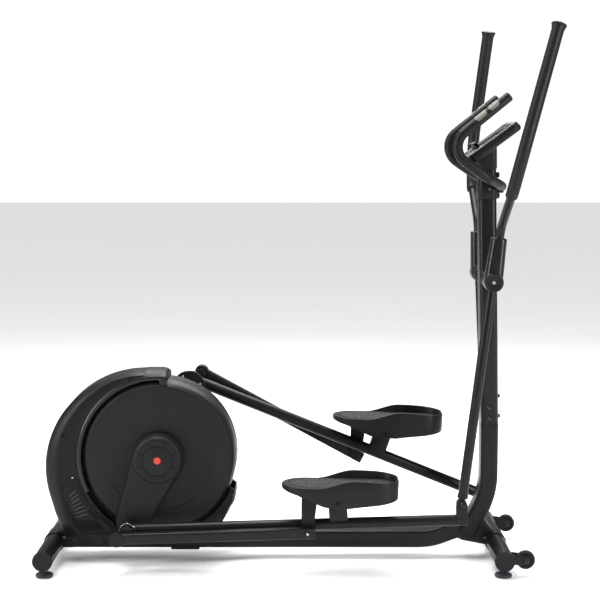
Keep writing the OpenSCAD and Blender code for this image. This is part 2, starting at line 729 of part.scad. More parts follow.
module pedal_bar(s) on_side(s) color([0.08, 0.08, 0.085]) along(crank_pin(s), bar_angle(s)) {
    nose = [bar_length + 16, -clevis_rise];
    slope = heading(nose);
    foot = [pedal_along, tan(slope) * pedal_along];
    difference() {
        union() {
            translate([0, -track_y, 0]) rotate([0, -slope, 0]) rotate([0, 90, 0])
                difference() {
                    cylinder(r = bar_r, h = norm(nose));
                    translate([0, 0, 40]) cylinder(r = bar_r - tube_wall, h = norm(nose) - 44);
                }
            cross_rod([0, 0], 24, -bearing_out, -bearing_in);
            // The pedal bracket stands on the bar.
            slab(-track_y - 16, -track_y + 16) polygon([foot + [-29, 11], [pedal_along - 29, pedal_up],
                [pedal_along - 20, pedal_up + 15], [pedal_along + 20, pedal_up + 15], [pedal_along + 29, pedal_up],
                foot + [29, 9]]);
            cross_rod([pedal_along, pedal_up], 25, -track_y - 16, -track_y + 16);
            // Two ears carry the swing arm's lower pin.
            for (y = [-track_y - 17, -track_y + 12]) slab(y, y + 5)
                strip([bar_length, 0], [bar_length, -clevis_rise + 4], 17, 17);
        }
        cross_rod([0, 0], crank_pin_r + fit, -260, 0);
        cross_rod([bar_length, 0], front_pin_r + fit, -260, 0);
        cross_rod([pedal_along, pedal_up], pedal_pin_r + fit, -260, 0);
    }
}
module pedal_bar_right() pedal_bar(-1);
module pedal_bar_left() pedal_bar(1);

// The return crank carries the link's small pin past the pedal bar.
module return_crank(s) on_side(s) color([0.5, 0.51, 0.53]) {
    cross_rod(crank_pin(s), crank_pin_r, -return_in, -bearing_in + 2);
    slab(-return_out, -return_in) strip(crank_pin(s), small_pin(s), 17, 14);
    cross_rod(small_pin(s), small_pin_r, -link_out + 8, -return_out);
}
module return_crank_right() return_crank(-1);
module return_crank_left() return_crank(1);

link_half = 17;
module pedal_link(s) on_side(s) color([0.08, 0.08, 0.085]) along(small_pin(s), link_angle(s)) difference() {
    union() {
        translate([10, -(link_in + link_out) / 2, 0]) rotate([0, 90, 0])
            linear_extrude(link_length + 14) rounded(2 * link_half, link_out - link_in, 8);
        cross_rod([0, 0], 23, -link_out - 3, -link_in);
    }
    translate([34, -(link_in + link_out) / 2, 0]) rotate([0, 90, 0])
        linear_extrude(link_length - 60) rounded(2 * link_half - 5, link_out - link_in - 5, 6);
    cross_rod([0, 0], small_pin_r + 7, -link_out + 2, -link_in + 1);
    cross_rod([link_length, 0], link_pin_r + fit, -260, 0);
}
module pedal_link_right() pedal_link(-1);
module pedal_link_left() pedal_link(1);

// ---- Pedals ----

// Local axes of a pedal: zero at its pivot, X towards the toe.
module on_pedal(s) along(pedal_pin(s), pedal_angle(s)) children();
heel_x = -174;
toe_x = heel_x + pedal_length;
heel_r = 82;
toe_r = 66;
// Seen from above: a narrow round heel and a broader round toe.
module pedal_plan(grow) translate([0, -track_y]) hull() {
    half = pedal_width / 2;
    translate([heel_x + heel_r, 0]) circle(heel_r + grow, $fn = 64);
    for (side = [-1, 1]) translate([toe_x - toe_r, side * (half - toe_r)]) circle(toe_r + grow, $fn = 64);
}
// Seen from the side: a thin heel, a deep middle and a rim around the toe.
module pedal_profile() {
    polygon([[heel_x, tread_up], [heel_x, tread_up - 14], [-130, tread_up - 22], [-84, 6], [-40, -14], [34, -16],
             [60, -12], [130, -2], [toe_x, 6], [toe_x, tread_up + rim_up - 9], [toe_x - 60, tread_up + rim_up - 2],
             [48, tread_up + rim_up], [24, tread_up + rim_up - 3], [0, tread_up + 18], [-28, tread_up + 6],
             [-60, tread_up]]);
}
module pedal(s) on_side(s) color([0.075, 0.075, 0.08]) on_pedal(s) {
    wall = 4;
    difference() {
        intersection() {
            translate([0, 0, -40]) linear_extrude(160) pedal_plan(0);
            slab(-300, 0) pedal_profile();
        }
        // The foot's space above the tread.
        translate([0, 0, tread_up]) linear_extrude(60) pedal_plan(-9);
        // The hollow underside.
        intersection() {
            translate([0, 0, -41]) linear_extrude(41 + tread_up - 6) pedal_plan(-wall);
            translate([-150, -300, -41]) cube([toe_x + 130, 300, 160]);
        }
        cross_rod([0, 0], pedal_pin_r, -300, 0);
    }
    // The pivot pin and the two cheeks that hold it.
    cross_rod([0, 0], pedal_pin_r, -track_y - pedal_width / 2 + 6, -track_y + pedal_width / 2 - 6);
    for (y = [-track_y - 26, -track_y + 18]) slab(y, y + 8)
        polygon([[-30, tread_up - 6], [-18, -12], [18, -12], [40, tread_up - 6]]);
    // The rear leg reaches down to the link.
    slab(-link_in + 3, -link_in + 11) {
        translate(leg_drop) circle(14);
        polygon([leg_drop + [-14, 0], leg_drop + [14, 0], leg_drop + [21, 30], [-60, tread_up - 5],
                 [-112, tread_up - 5], leg_drop + [-21, 30]]);
    }
    cross_rod(leg_drop, link_pin_r, -link_out - 4, -link_in + 3);
    cross_rod(leg_drop, 9, -link_out - 7, -link_out - 1);
}
module pedal_right() pedal(-1);
module pedal_left() pedal(1);
module tread_mat(s) on_side(s) color([0.13, 0.12, 0.12]) on_pedal(s)
    translate([0, 0, tread_up]) linear_extrude(2.5) pedal_plan(-12);
module tread_mat_right() tread_mat(-1);
module tread_mat_left() tread_mat(1);

// ---- Fixed handlebar and console ----

handlebar_half = [[652, -fixed_half, 1477], [461, -fixed_half, 1322.3], [591, -fixed_half + 4, 1231.8],
                  [633.3, -76, 1210.7], [658, 0, 1199]];
handlebar_points = [each handlebar_half, for (i = [3 : -1 : 0]) [handlebar_half[i][0], -handlebar_half[i][1],
                                                                 handlebar_half[i][2]]];
handlebar_steps = 8;
handlebar_curve = bent(handlebar_points, [66, 45, 80, 70, 80, 45, 66], handlebar_steps);
handlebar_r = 12.5;
// The bore that surrounds the handlebar's tube on every side.
handlebar_bore = handlebar_r + 0.22;
bar_end = handlebar_points[0];
bar_slope = heading([bar_end[0] - handlebar_points[1][0], bar_end[2] - handlebar_points[1][2]]);
module fixed_handlebar() color([0.08, 0.08, 0.085]) swept(handlebar_curve, handlebar_r);
// Foam covers each side from the grip's end past the lower bend.
module handlebar_foam() color([0.06, 0.06, 0.06])
    for (s = [-1, 1]) on_side(s) difference() {
        swept([bar_end + 8 * unit(bar_end - handlebar_points[1]),
               for (i = [1 : 2 * handlebar_steps + 2]) handlebar_curve[i]], fixed_grip_d / 2);
        swept(handlebar_curve, handlebar_bore);
    }
// Two pulse plates wrap the top and the flanks of each grip.
module pulse_plates() color([0.62, 0.58, 0.52])
    for (s = [-1, 1], e = [[-67, 34], [-120, 45]]) on_side(s)
        along([bar_end[0], bar_end[2]], bar_slope) translate([e[0], -fixed_half, 0]) rotate([0, 90, 0])
            difference() {
                cylinder(r = fixed_grip_d / 2 + 1, h = e[1]);
                translate([0, 0, -1]) cylinder(r = fixed_grip_d / 2 - 0.4, h = e[1] + 2);
                translate([5, -30, -1]) cube([40, 60, e[1] + 2]);
            }
module handlebar_clamp() color([0.06, 0.06, 0.065]) {
    difference() {
        on_mast(1162) difference() {
            union() {
                linear_extrude(52) rounded(mast_d + 6, mast_w + 8, 17);
                // The block in front of the mast holds the handlebar.
                translate([0, -28, 24]) cube([mast_d / 2 + 24, 56, 28]);
            }
            translate([0, 0, -1]) linear_extrude(54) rounded(mast_d, mast_w, 15);
        }
        swept(handlebar_curve, handlebar_bore);
    }
    for (z = [1171, 1237]) on_mast(z) translate([mast_d / 2, 0, 0]) rotate([0, 90, 0]) {
        cylinder(r = 6, h = 13);
        cylinder(r = 9, h = 9);
    }
}

// Local axes of the console: zero at the middle of its underside, X up the slope.
console_origin = [625, 1326.5];
module on_console() along(console_origin, console_tilt) children();
face_t = 8;
module console_housing() color([0.06, 0.06, 0.065]) {
    difference() {
        union() {
            on_console() linear_extrude(console_t - face_t) rounded(console_l, console_w, 22);
            // The neck slips over the mast.
            difference() {
                translate([upper_x(1290) - 32, -mast_w / 2 - 3, 1262]) cube([62, mast_w + 6, 70]);
                on_console() translate([-150, -150, 4]) cube([300, 300, 100]);
            }
        }
        on_mast(mast_joint_z) linear_extrude(mast_top_z - mast_joint_z) rounded(mast_d, mast_w, 15);
        on_console() for (b = buttons) translate([b[0], b[1], console_t - 12]) cylinder(r = 8.6, h = 20);
    }
}
buttons = [[-74, 0], [-74, 38], [-74, -38]];
module console_face() color([0.55, 0.52, 0.47]) on_console() difference() {
    translate([0, 0, console_t - face_t]) linear_extrude(face_t) rounded(console_l - 2, console_w - 2, 21);
    translate([24, 0, console_t - 2]) linear_extrude(4) rounded(104, 190, 8);
    for (b = buttons) translate([b[0], b[1], console_t - face_t - 1]) cylinder(r = 8.6, h = 12);
    translate([-44, 0, console_t - 2]) linear_extrude(4) square([9, 160], center = true);
}
module tablet_ledge() color([0.07, 0.07, 0.075]) on_console() {
    translate([-48, -79, console_t - 2]) cube([7, 158, 22]);
    translate([-54, -79, console_t + 14]) cube([8, 158, 6]);
}
module push_button(b) color([0.2, 0.2, 0.21]) on_console()
    translate([b[0], b[1], console_t - 10]) cylinder(r = 8, h = 13);
module start_button() push_button(buttons[0]);
module plus_button() push_button(buttons[1]);
module minus_button() push_button(buttons[2]);

base_frame();
rear_stabiliser();
front_stabiliser();
stabiliser_caps();
frame_pad();
frame_bolts();
foot_front_right();
foot_front_left();
foot_rear_right();
foot_rear_left();
wheel_right();
wheel_left();
mast_lower();
mast_upper();
pivot_axle();
crank_bearings();
crank_axle();
crank_arms();
crank_covers();
hub_caps();
drive_pulley();
drive_belt();
idler_pulley();
flywheel();
flywheel_axle();
brake_shoe();
brake_servo();
casing_right();
casing_left();
drum_cover_right();
drum_cover_left();
casing_tip();
vent_panels();
casing_screws();
swing_arm_right();
swing_arm_left();
arm_sleeve_right();
arm_sleeve_left();
handle_grip_right();
handle_grip_left();
pedal_bar_right();
pedal_bar_left();
return_crank_right();
return_crank_left();
pedal_link_right();
pedal_link_left();
pedal_right();
pedal_left();
tread_mat_right();
tread_mat_left();
fixed_handlebar();
handlebar_foam();
pulse_plates();
handlebar_clamp();
console_housing();
console_face();
tablet_ledge();
start_button();
plus_button();
minus_button();
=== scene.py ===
"""Looks of an elliptical trainer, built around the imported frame.

Shapes are drawn in millimetres and become metres when a piece is made. A side-view point is
(x, z) and d is a distance from the machine's middle plane. Side -1 is the user's right, +1 the left.
"""

import json
import math

import bmesh
import bpy
import numpy as np
from mathutils import Matrix, Vector


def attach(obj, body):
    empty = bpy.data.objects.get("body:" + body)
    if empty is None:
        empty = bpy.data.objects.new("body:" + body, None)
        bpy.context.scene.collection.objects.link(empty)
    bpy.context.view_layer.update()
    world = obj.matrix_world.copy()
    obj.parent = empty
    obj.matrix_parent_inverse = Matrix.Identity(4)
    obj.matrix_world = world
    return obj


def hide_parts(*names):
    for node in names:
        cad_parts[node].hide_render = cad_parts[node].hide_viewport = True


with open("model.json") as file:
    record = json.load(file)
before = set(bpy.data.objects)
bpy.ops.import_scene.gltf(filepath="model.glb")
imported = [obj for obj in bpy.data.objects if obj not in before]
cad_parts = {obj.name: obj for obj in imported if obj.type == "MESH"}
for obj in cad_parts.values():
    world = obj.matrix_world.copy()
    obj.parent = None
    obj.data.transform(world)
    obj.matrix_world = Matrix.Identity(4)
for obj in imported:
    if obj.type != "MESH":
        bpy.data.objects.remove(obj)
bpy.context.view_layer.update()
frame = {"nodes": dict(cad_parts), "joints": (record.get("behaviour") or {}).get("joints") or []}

MM = 0.001
SIDES = {-1: "right", 1: "left"}


# ---- Plane geometry ----

def point(x, z):
    return Vector((x, z))


ORIGIN = point(0, 0)


def polar(radius, degrees):
    return Vector((radius * math.cos(math.radians(degrees)), radius * math.sin(math.radians(degrees))))


def heading(v):
    return math.degrees(math.atan2(v[1], v[0]))


def pivot(joint):
    """A joint's place in the side view, in millimetres."""
    found = next(j for j in frame["joints"] if j["name"] == joint)
    return point(found["pos_m"][0], found["pos_m"][2]) / MM


def eased(points, radius, loop=False, steps=5):
    """The same line with its corners rounded. radius is one number, or one for each point."""
    points = [Vector(p) for p in points]
    result = []
    for i, p in enumerate(points):
        r = radius[i] if hasattr(radius, "__len__") else radius
        if r <= 0 or (not loop and i in (0, len(points) - 1)):
            result.append(p.copy())
            continue
        to_a = points[i - 1] - p
        to_b = points[(i + 1) % len(points)] - p
        u, v = to_a.normalized(), to_b.normalized()
        angle = math.acos(max(-1, min(1, u.dot(v))))
        if angle > math.radians(178):
            result.append(p.copy())
            continue
        reach = min(r / math.tan(angle / 2), 0.49 * to_a.length, 0.49 * to_b.length)
        centre = p + (u + v).normalized() * reach / math.cos(angle / 2)
        start, end = p + u * reach - centre, p + v * reach - centre
        turn = math.pi - angle
        for k in range(steps + 1):
            t = k / steps
            mix = start * math.sin((1 - t) * turn) + end * math.sin(t * turn)
            result.append(centre + mix / math.sin(turn))
    return result


def bent(points, loop=False, steps=5):
    """A line from (x, z) points, of which those with a third number are rounded by that radius."""
    return eased([p[:2] for p in points], [p[2] if len(p) > 2 else 0 for p in points], loop, steps)


def counter_clockwise(outline):
    area = sum(a.x * b.y - b.x * a.y for a, b in zip(outline, outline[1:] + outline[:1]))
    return outline if area > 0 else outline[::-1]


def inset(outline, amount):
    """A counter-clockwise outline moved inwards, by one amount or by one for each point."""
    moved = []
    for i, p in enumerate(outline):
        depth = amount[i] if hasattr(amount, "__len__") else amount
        u = (p - outline[i - 1]).normalized()
        v = (outline[(i + 1) % len(outline)] - p).normalized()
        inward = Vector((-u.y - v.y, u.x + v.x))
        moved.append(p + inward.normalized() * depth / max(0.5, inward.length / 2))
    return moved


def circle(centre, radius, count=64, start=0, sweep=360):
    last = count if sweep == 360 else count + 1
    return [centre + polar(radius, start + sweep * k / count) for k in range(last)]


def strip(p, q, r1, r2, count=28):
    """The outline around two circles, counter-clockwise."""
    axis = q - p
    lean = math.degrees(math.acos((r1 - r2) / axis.length))
    base = heading(axis)
    near = [p + polar(r1, base + lean + (360 - 2 * lean) * k / count) for k in range(count + 1)]
    far = [q + polar(r2, base - lean + 2 * lean * k / count) for k in range(count + 1)]
    return near + far


def rounded(width, depth, radius, steps=6):
    """A rounded rectangle about zero, counter-clockwise."""
    w, h = width / 2, depth / 2
    return eased([(w, -h), (w, h), (-w, h), (-w, -h)], radius, True, steps)


# ---- Shells: lists of points and faces in millimetres ----

class Shell:
    def __init__(self, points, faces, flats):
        self.points, self.faces, self.flats = points, faces, flats

    def moved(self, matrix):
        return Shell([matrix @ p for p in self.points], self.faces, self.flats)


def skin(rings, loop=False):
    """Joins equal rings of points with quads. Its ends are closed with flat faces, or joined when loop."""
    count = len(rings[0])
    points = [p for ring in rings for p in ring]
    faces, flats = [], []
    last = len(rings) if loop else len(rings) - 1
    for i in range(last):
        low, high = i * count, (i + 1) % len(rings) * count
        for j in range(count):
            k = (j + 1) % count
            faces.append((low + j, low + k, high + k, high + j))
            flats.append(False)
    if not loop:
        top = (len(rings) - 1) * count
        faces += [tuple(reversed(range(count))), tuple(range(top, top + count))]
        flats += [True, True]
    return Shell(points, faces, flats)


def turned(profile, centre, side=-1, segments=96, loop=False, steps=5, start=0, sweep=360):
    """A profile of (radius, d) points, some with a corner radius, turned about a cross axis."""
    rings = []
    for r, d in bent(profile, loop, steps):
        rings.append([Vector((q.x, side * d, q.y)) for q in circle(centre, r, segments, start, sweep)])
    if sweep == 360:
        return skin(rings, loop)
    return skin([[ring[k] for ring in rings] for k in range(segments + 1)])


def plate(outline, d0, d1, side=-1, edge=1.5, back_edge=None, steps=3):
    """An outline given a thickness from d0 to d1, with both its edges rounded."""
    back = min(edge, 1.0) if back_edge is None else back_edge
    turns = [math.radians(90 * k / steps) for k in range(steps + 1)]
    layers = [(back * (1 - math.sin(a)), d0 + back * (1 - math.cos(a))) for a in turns]
    layers += [(edge * (1 - math.cos(a)), d1 - edge * (1 - math.sin(a))) for a in turns]
    return layered(outline, layers, side)


def layered(outline, layers, side=-1):
    """An outline lofted through layers of (inset, d)."""
    outline = counter_clockwise(outline)
    return skin([[Vector((q.x, side * d, q.y)) for q in inset(outline, grow)] for grow, d in layers])


def stack(outline, layers, x=0, y=0):
    """An outline lofted upwards through layers of (inset, z)."""
    return skin([[Vector((x + q.x, y + q.y, z)) for q in inset(outline, grow)] for grow, z in layers])


def swept(path, section, up=(0, 1, 0), scales=None):
    """A section of (across, up) points carried along a path without twist."""
    rings = []
    side = Vector(up)
    for i, p in enumerate(path):
        ahead = (path[min(i + 1, len(path) - 1)] - path[max(i - 1, 0)]).normalized()
        side = (side - ahead * side.dot(ahead)).normalized()
        other = ahead.cross(side)
        scale = scales[i] if scales else 1
        rings.append([p + (other * q.x + side * q.y) * scale for q in section])
    return skin(rings)


def tube(path, radius, sides=40, end=2, steps=4):
    """A round bar along a path, with rounded ends."""
    ahead = (path[1] - path[0]).normalized()
    behind = (path[-2] - path[-1]).normalized()
    head, tail = [], []
    for k in range(steps + 1):
        a = math.radians(90 * k / steps)
        along, r = end * (1 - math.cos(a)), radius - end * (1 - math.sin(a))
        head.append((path[0] + ahead * along, r))
        tail.append((path[-1] + behind * along, r))
    stations = head + [(p, radius) for p in path[1:-1]] + tail[::-1]
    return swept([p for p, _ in stations], circle(ORIGIN, 1, sides), (0.1, 1, 0.05),
                 [r for _, r in stations])


def straight(a, b, radius, sides=40, end=1.5):
    return tube([Vector(a), Vector(b)], radius, sides, end)


def block(size, centre, edge=1.5, corner=None):
    """A box with rounded corners and edges, lying flat."""
    outline = rounded(size[0], size[1], edge if corner is None else corner)
    low, high = centre[2] - size[2] / 2, centre[2] + size[2] / 2
    turns = [math.radians(30 * k) for k in range(4)]
    layers = [(edge * (1 - math.sin(a)), low + edge * (1 - math.cos(a))) for a in turns]
    layers += [(edge * (1 - math.cos(a)), high - edge * (1 - math.sin(a))) for a in turns]
    return stack(outline, layers, centre[0], centre[1])


# ---- Places: matrices from local millimetres to the row frame ----

def along(p, degrees):
    """Local X runs at an angle in the side view, from point p."""
    return Matrix.Translation((p.x, 0, p.y)) @ Matrix.Rotation(-math.radians(degrees), 4, "Y")


def piece(name, body, slot, material, shells, place=None, hides=(), sharp=38):
    """Makes one object from shells, shades it smooth and lets it ride on a body."""
    shells = [shells] if isinstance(shells, Shell) else shells
    place = Matrix.Scale(MM, 4) @ (place if place is not None else Matrix())
    verts, faces, flats = [], [], []
    for shell in shells:
        base = len(verts)
        verts += [place @ p for p in shell.points]
        faces += [tuple(base + i for i in face) for face in shell.faces]
        flats += shell.flats
    mesh = bpy.data.meshes.new(name)
    mesh.from_pydata([tuple(v) for v in verts], [], faces)
    outward(mesh)
    mesh.polygons.foreach_set("use_smooth", [not flat for flat in flats])
    mesh.set_sharp_from_angle(angle=math.radians(sharp))
    mesh.materials.append(material)
    thing = bpy.data.objects.new(name, mesh)
    bpy.context.scene.collection.objects.link(thing)
    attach(thing, body)
    if hides:
        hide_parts(*hides)
    return thing


def fixed(name, *rest, **named):
    """Makes a piece that stays with the frame."""
    return piece(name, "frame", *rest, **named)


def outward(mesh):
    """Turns the faces of every closed shell outwards."""
    work = bmesh.new()
    work.from_mesh(mesh)
    bmesh.ops.recalc_face_normals(work, faces=work.faces)
    work.to_mesh(mesh)
    work.free()


# ---- Materials ----

class Look:
    """A node material with helpers, working in the piece's own coordinates."""

    def __init__(self, name, colour, roughness, metallic=0.0, specular=0.3):
        self.material = bpy.data.materials.new(name)
        self.material.use_nodes = True
        self.nodes, self.links = self.material.node_tree.nodes, self.material.node_tree.links
        self.shader = self.nodes["Principled BSDF"]
        self.fill(self.shader, {"Metallic": metallic, "Specular IOR Level": specular})
        self.place = self.nodes.new("ShaderNodeTexCoord").outputs["Object"]
        self.colour, self.roughness, self.height = colour, roughness, None

    def fill(self, node, inputs):
        """Sets a node's inputs, each to a number or to another node's output."""
        for socket, value in inputs.items():
            if isinstance(value, bpy.types.NodeSocket):
                self.links.new(value, node.inputs[socket])
            else:
                node.inputs[socket].default_value = value

    def node(self, kind, inputs):
        node = self.nodes.new("ShaderNode" + kind)
        self.fill(node, inputs)
        return node

    def noise(self, scale, detail=3.0, rough=0.55, stretch=None):
        place = self.place
        if stretch:
            place = self.node("Mapping", {"Scale": stretch, "Vector": place}).outputs["Vector"]
        inputs = {"Scale": scale, "Detail": detail, "Roughness": rough, "Vector": place}
        return self.node("TexNoise", inputs).outputs["Fac"]

    def cells(self, scale):
        node = self.node("TexVoronoi", {"Scale": scale, "Vector": self.place})
        node.feature = "SMOOTH_F1"
        return node.outputs["Distance"]

    def tint(self, value, low=0.85, high=1.15):
        """The colour varies between two shares of itself."""
        ramp = self.node("ValToRGB", {"Fac": value})
        for element, share, at in zip(ramp.color_ramp.elements, (low, high), (0.3, 0.7)):
            element.position = at
            element.color = [min(1, c * share) for c in self.colour] + [1]
        self.fill(self.shader, {"Base Color": ramp.outputs["Color"]})
        return self

    def gloss(self, value, amount):
        """The roughness varies by an amount about its middle."""
        inputs = {"Value": value, "From Min": 0.3, "From Max": 0.7, "To Min": self.roughness - amount,
                  "To Max": self.roughness + amount}
        self.fill(self.shader, {"Roughness": self.node("MapRange", inputs).outputs["Result"]})
        return self

    def bump(self, value, depth, strength=1.0):
        inputs = {"Distance": depth, "Strength": strength, "Height": value}
        if self.height is not None:
            inputs["Normal"] = self.height
        self.height = self.node("Bump", inputs).outputs["Normal"]
        self.fill(self.shader, {"Normal": self.height})
        return self

    def coat(self, weight, roughness):
        self.fill(self.shader, {"Coat Weight": weight, "Coat Roughness": roughness})
        return self


def powder_coat():
    """Satin black powder coat with a fine orange peel."""
    look = Look("powder_coat", (0.0055, 0.0055, 0.006), 0.34, specular=0.17)
    look.tint(look.noise(14, 2), 0.88, 1.14).gloss(look.noise(60, 3), 0.05)
    return look.bump(look.noise(900, 2), 0.00006, 0.5).bump(look.noise(260, 2), 0.0001, 0.25).material


def moulded(name, colour, roughness, grain=1400, specular=0.3):
    """Moulded plastic with a spark-eroded grain."""
    look = Look(name, colour, roughness, specular=specular)
    look.tint(look.noise(9, 2), 0.9, 1.12).gloss(look.noise(35, 3), 0.05)
    return look.bump(look.noise(grain, 3, 0.6), 0.00012, 0.55).material


def glossy():
    look = Look("gloss_black", (0.0045, 0.0045, 0.0048), 0.3, specular=0.22)
    look.tint(look.noise(20, 2), 0.9, 1.1).gloss(look.noise(120, 4), 0.03)
    return look.bump(look.noise(1200, 2), 0.00003, 0.3).coat(0.12, 0.24).material


def foamed():
    """Closed-cell foam: tiny pits and a dusty, rough skin."""
    look = Look("grip_foam", (0.0055, 0.0055, 0.006), 0.46, specular=0.18)
    look.tint(look.noise(45, 4, 0.65), 0.8, 1.25).gloss(look.noise(160, 3), 0.08)
    return look.bump(look.cells(1500), 0.00002, 0.15).material


def rubbery(name, colour, roughness=0.68):
    look = Look(name, colour, roughness, specular=0.2)
    look.tint(look.noise(30, 4, 0.6), 0.82, 1.2).gloss(look.noise(80, 3), 0.08)
    return look.bump(look.noise(700, 3), 0.00015, 0.5).material


def metallic(name, colour, roughness, brush=(1, 1, 1), depth=0.00003):
    """Bare or plated metal with faint machining marks along one direction."""
    look = Look(name, colour, roughness, metallic=1.0)
    marks = look.noise(420, 3, 0.6, brush)
    look.tint(look.noise(25, 3), 0.85, 1.1).gloss(marks, 0.08)
    return look.bump(marks, depth, 0.5).material


def display_glass():
    look = Look("display_window", (0.010, 0.011, 0.012), 0.10, specular=0.5)
    look.tint(look.noise(8, 2), 0.9, 1.1).gloss(look.noise(30, 3), 0.03)
    return look.coat(0.6, 0.05).material


POWDER = powder_coat()
SHELL = moulded("shell_black", (0.005, 0.005, 0.0052), 0.42, specular=0.14)
DISC = moulded("drum_black", (0.0075, 0.0072, 0.007), 0.42, 1000, specular=0.16)
CAP = moulded("moulded_black", (0.007, 0.007, 0.0074), 0.46, specular=0.15)
PEDAL = moulded("pedal_black", (0.007, 0.007, 0.0074), 0.44, 1100, specular=0.15)
# Near-black matte that paints shade: the casing's gap round the drum, holes, and the vent's groove and
# recess.
SHADE_BLACK = moulded("painted_shade_black", (0.004, 0.004, 0.004), 0.8, specular=0.1)
GLOSS = glossy()
FOAM = foamed()
TREAD = rubbery("tread_rubber", (0.026, 0.0235, 0.022), 0.62)
FOOT = rubbery("foot_rubber", (0.022, 0.025, 0.030), 0.55)
BLACK_RUBBER = rubbery("black_rubber", (0.012, 0.012, 0.013))
ZINC = metallic("zinc_steel", (0.56, 0.58, 0.62), 0.28)
CHROME = metallic("bright_ring", (0.62, 0.60, 0.57), 0.16, (1, 12, 1))
PULSE = moulded("pulse_plate", (0.125, 0.112, 0.098), 0.42, 300, 0.3)
IRON = metallic("cast_iron", (0.22, 0.22, 0.23), 0.5)
PULLEY = moulded("pulley_plastic", (0.09, 0.09, 0.095), 0.5)
DULL = metallic("dull_steel", (0.10, 0.105, 0.12), 0.4)
# The vent ribs are lighter than the shell: painted light where the ribs catch the lamps.
RIB_PAINTED_LIGHT = moulded("vent_rib", (0.022, 0.022, 0.023), 0.4, specular=0.3)
KEYPAD = moulded("keypad", (0.075, 0.068, 0.058), 0.5, 120, 0.1)
FACE = moulded("face_silver", (0.12, 0.108, 0.09), 0.5, 120, 0.1)
KEY = moulded("key_plastic", (0.05, 0.05, 0.055), 0.35)
WINDOW = display_glass()
RED = moulded("red_dot", (0.42, 0.035, 0.022), 0.4)

# ---- Fixed points and layers, as in the CAD model ----

HUB = pivot("crank_turn")
ARM_PIVOT = pivot("right_arm_swing")
TRACK = 178
AXLE_R = 10
STABILISER_Z = 57
STABILISER_HALF = 266
REAR_X, FRONT_X = -778, 645
BEAM_W, BEAM_H, BEAM_MID = 60, 56, 64
MAST_D, MAST_W, MAST_JOINT, MAST_TOP = 56, 80, 443, 1306
MAST_LEAN = 1.2
CASING_CENTRE, BELLY_CENTRE = point(-490, 303), point(-560, 225)
CASING_R, BELLY_R, GAP_R = 309, 220, 258
DRUM_HALF = 88
COVER_REACH = 213
CRANK_IN = 97
LINK_IN, LINK_OUT = 212, 244
BEARING_IN, BEARING_OUT = 155, 201
ECCENTRIC, LAG = 256, 4.4
ARM_LENGTH = 703.5
BAR_LENGTH = 1046.4
LINK_LENGTH = 591
PEDAL_ALONG, PEDAL_UP = 660, 52
LEG_DROP = point(-89, -102)


class Linkage:
    """The pivots of one side, and the places of its moving bodies."""

    def __init__(self, side):
        name = SIDES[side]
        self.side, self.name, self.y = side, name, side * TRACK
        self.crank_pin, link_pin = pivot(f"{name}_crank_pin"), pivot(f"{name}_link_pin")
        front_pin, pedal_pin = pivot(f"{name}_front_pin"), pivot(f"{name}_pedal_tilt")
        self.crank_angle = heading(self.crank_pin - HUB)
        self.small_pin = HUB + polar(ECCENTRIC, self.crank_angle - LAG)
        lean = math.radians(90 - heading(ARM_PIVOT - front_pin))
        self.places = {
            "swing_arm": Matrix.Translation((ARM_PIVOT.x, 0, ARM_PIVOT.y)) @ Matrix.Rotation(lean, 4, "Y"),
            "pedal_bar": along(self.crank_pin, heading(front_pin - self.crank_pin)),
            "pedal_link": along(self.small_pin, heading(link_pin - self.small_pin)),
            "pedal": along(pedal_pin, heading(link_pin - pedal_pin) - heading(LEG_DROP)),
            "return_crank": Matrix(),
        }

    def add(self, part, label, slot, look, shells, hides=None):
        """Makes a piece on one of this side's bodies, drawn in that body's own place."""
        replaced = [f"{hides}_{self.name}"] if hides else ()
        piece(f"{label}_{self.name}", f"{self.name}_{part}", slot, look, shells, self.places[part], replaced)


def upper_x(z):
    return 622.5 - (z - MAST_JOINT) * math.tan(math.radians(MAST_LEAN))


def on_mast(z):
    return Matrix.Translation((upper_x(z), 0, z)) @ Matrix.Rotation(-math.radians(MAST_LEAN), 4, "Y")


ON_CONSOLE = along(point(625, 1326.5), 36.4)


def bolt(centre, side, d, head=9, height=5, socket=True):
    """A button-head bolt that stands out from a face at distance d, with a hexagon socket."""
    shells = [turned([(head, d - 1), (head, d + height * 0.45, 1.2), (head * 0.7, d + height, 1.5),
                      (head * 0.42, d + height, 0.3), (head * 0.42, d + height * 0.4, 0.3),
                      (0.05, d + height * 0.4)], centre, side, 40)]
    if socket:
        hexagon = [centre + polar(head * 0.36, 60 * k) for k in range(6)]
        shells.append(plate(hexagon, d + height * 0.2, d + height * 0.5, side, 0.2))
    return shells


# ---- Frame ----

def main_beam():
    path = eased([(REAR_X + 20, BEAM_MID), (437, BEAM_MID), (552, 108)], 210, steps=10)
    section = rounded(BEAM_H, BEAM_W, 9)
    return swept([Vector((p.x, 0, p.y)) for p in path], section)


def nose_gusset():
    outline = bent([(505, 76, 4), (540, 60, 40), (605, 48, 30), (FRONT_X, 38, 16), (664, 66, 12),
                    (622, 112, 14), (600, 148, 6), (560, 130, 6), (505, 100, 4)], True)
    return plate(outline, -28, 28, 1, 4, 4)


def saddle(x):
    loop = eased([(33.4, -46), (33.4, 46), (30.1, 46), (30.1, -46)], 1.6, True)
    return turned(loop, point(x, STABILISER_Z), 1, 72, loop=True)


def drive_bracket():
    outline = eased([(-660, 92), (-650, 300), (-715, 385), (-700, 402), (-620, 400), (-575, 470),
                     (-500, 470), (-400, 372), (-396, 320), (-370, 92)], 8, True)
    shells = [plate(outline, 44.2, 48.8, side, 0.8) for side in SIDES]
    shells += [turned([(26, 34), (26, 49), (17.6, 49), (17.6, 34)], HUB, side, 48, loop=True)
               for side in SIDES]
    return shells + [block((290, 96, 4.6), (-515, 0, 94.5), 1)]


def rear_block():
    return block((60, 59.5, 55.5), (REAR_X + 33, 0, BEAM_MID), 5, 8)


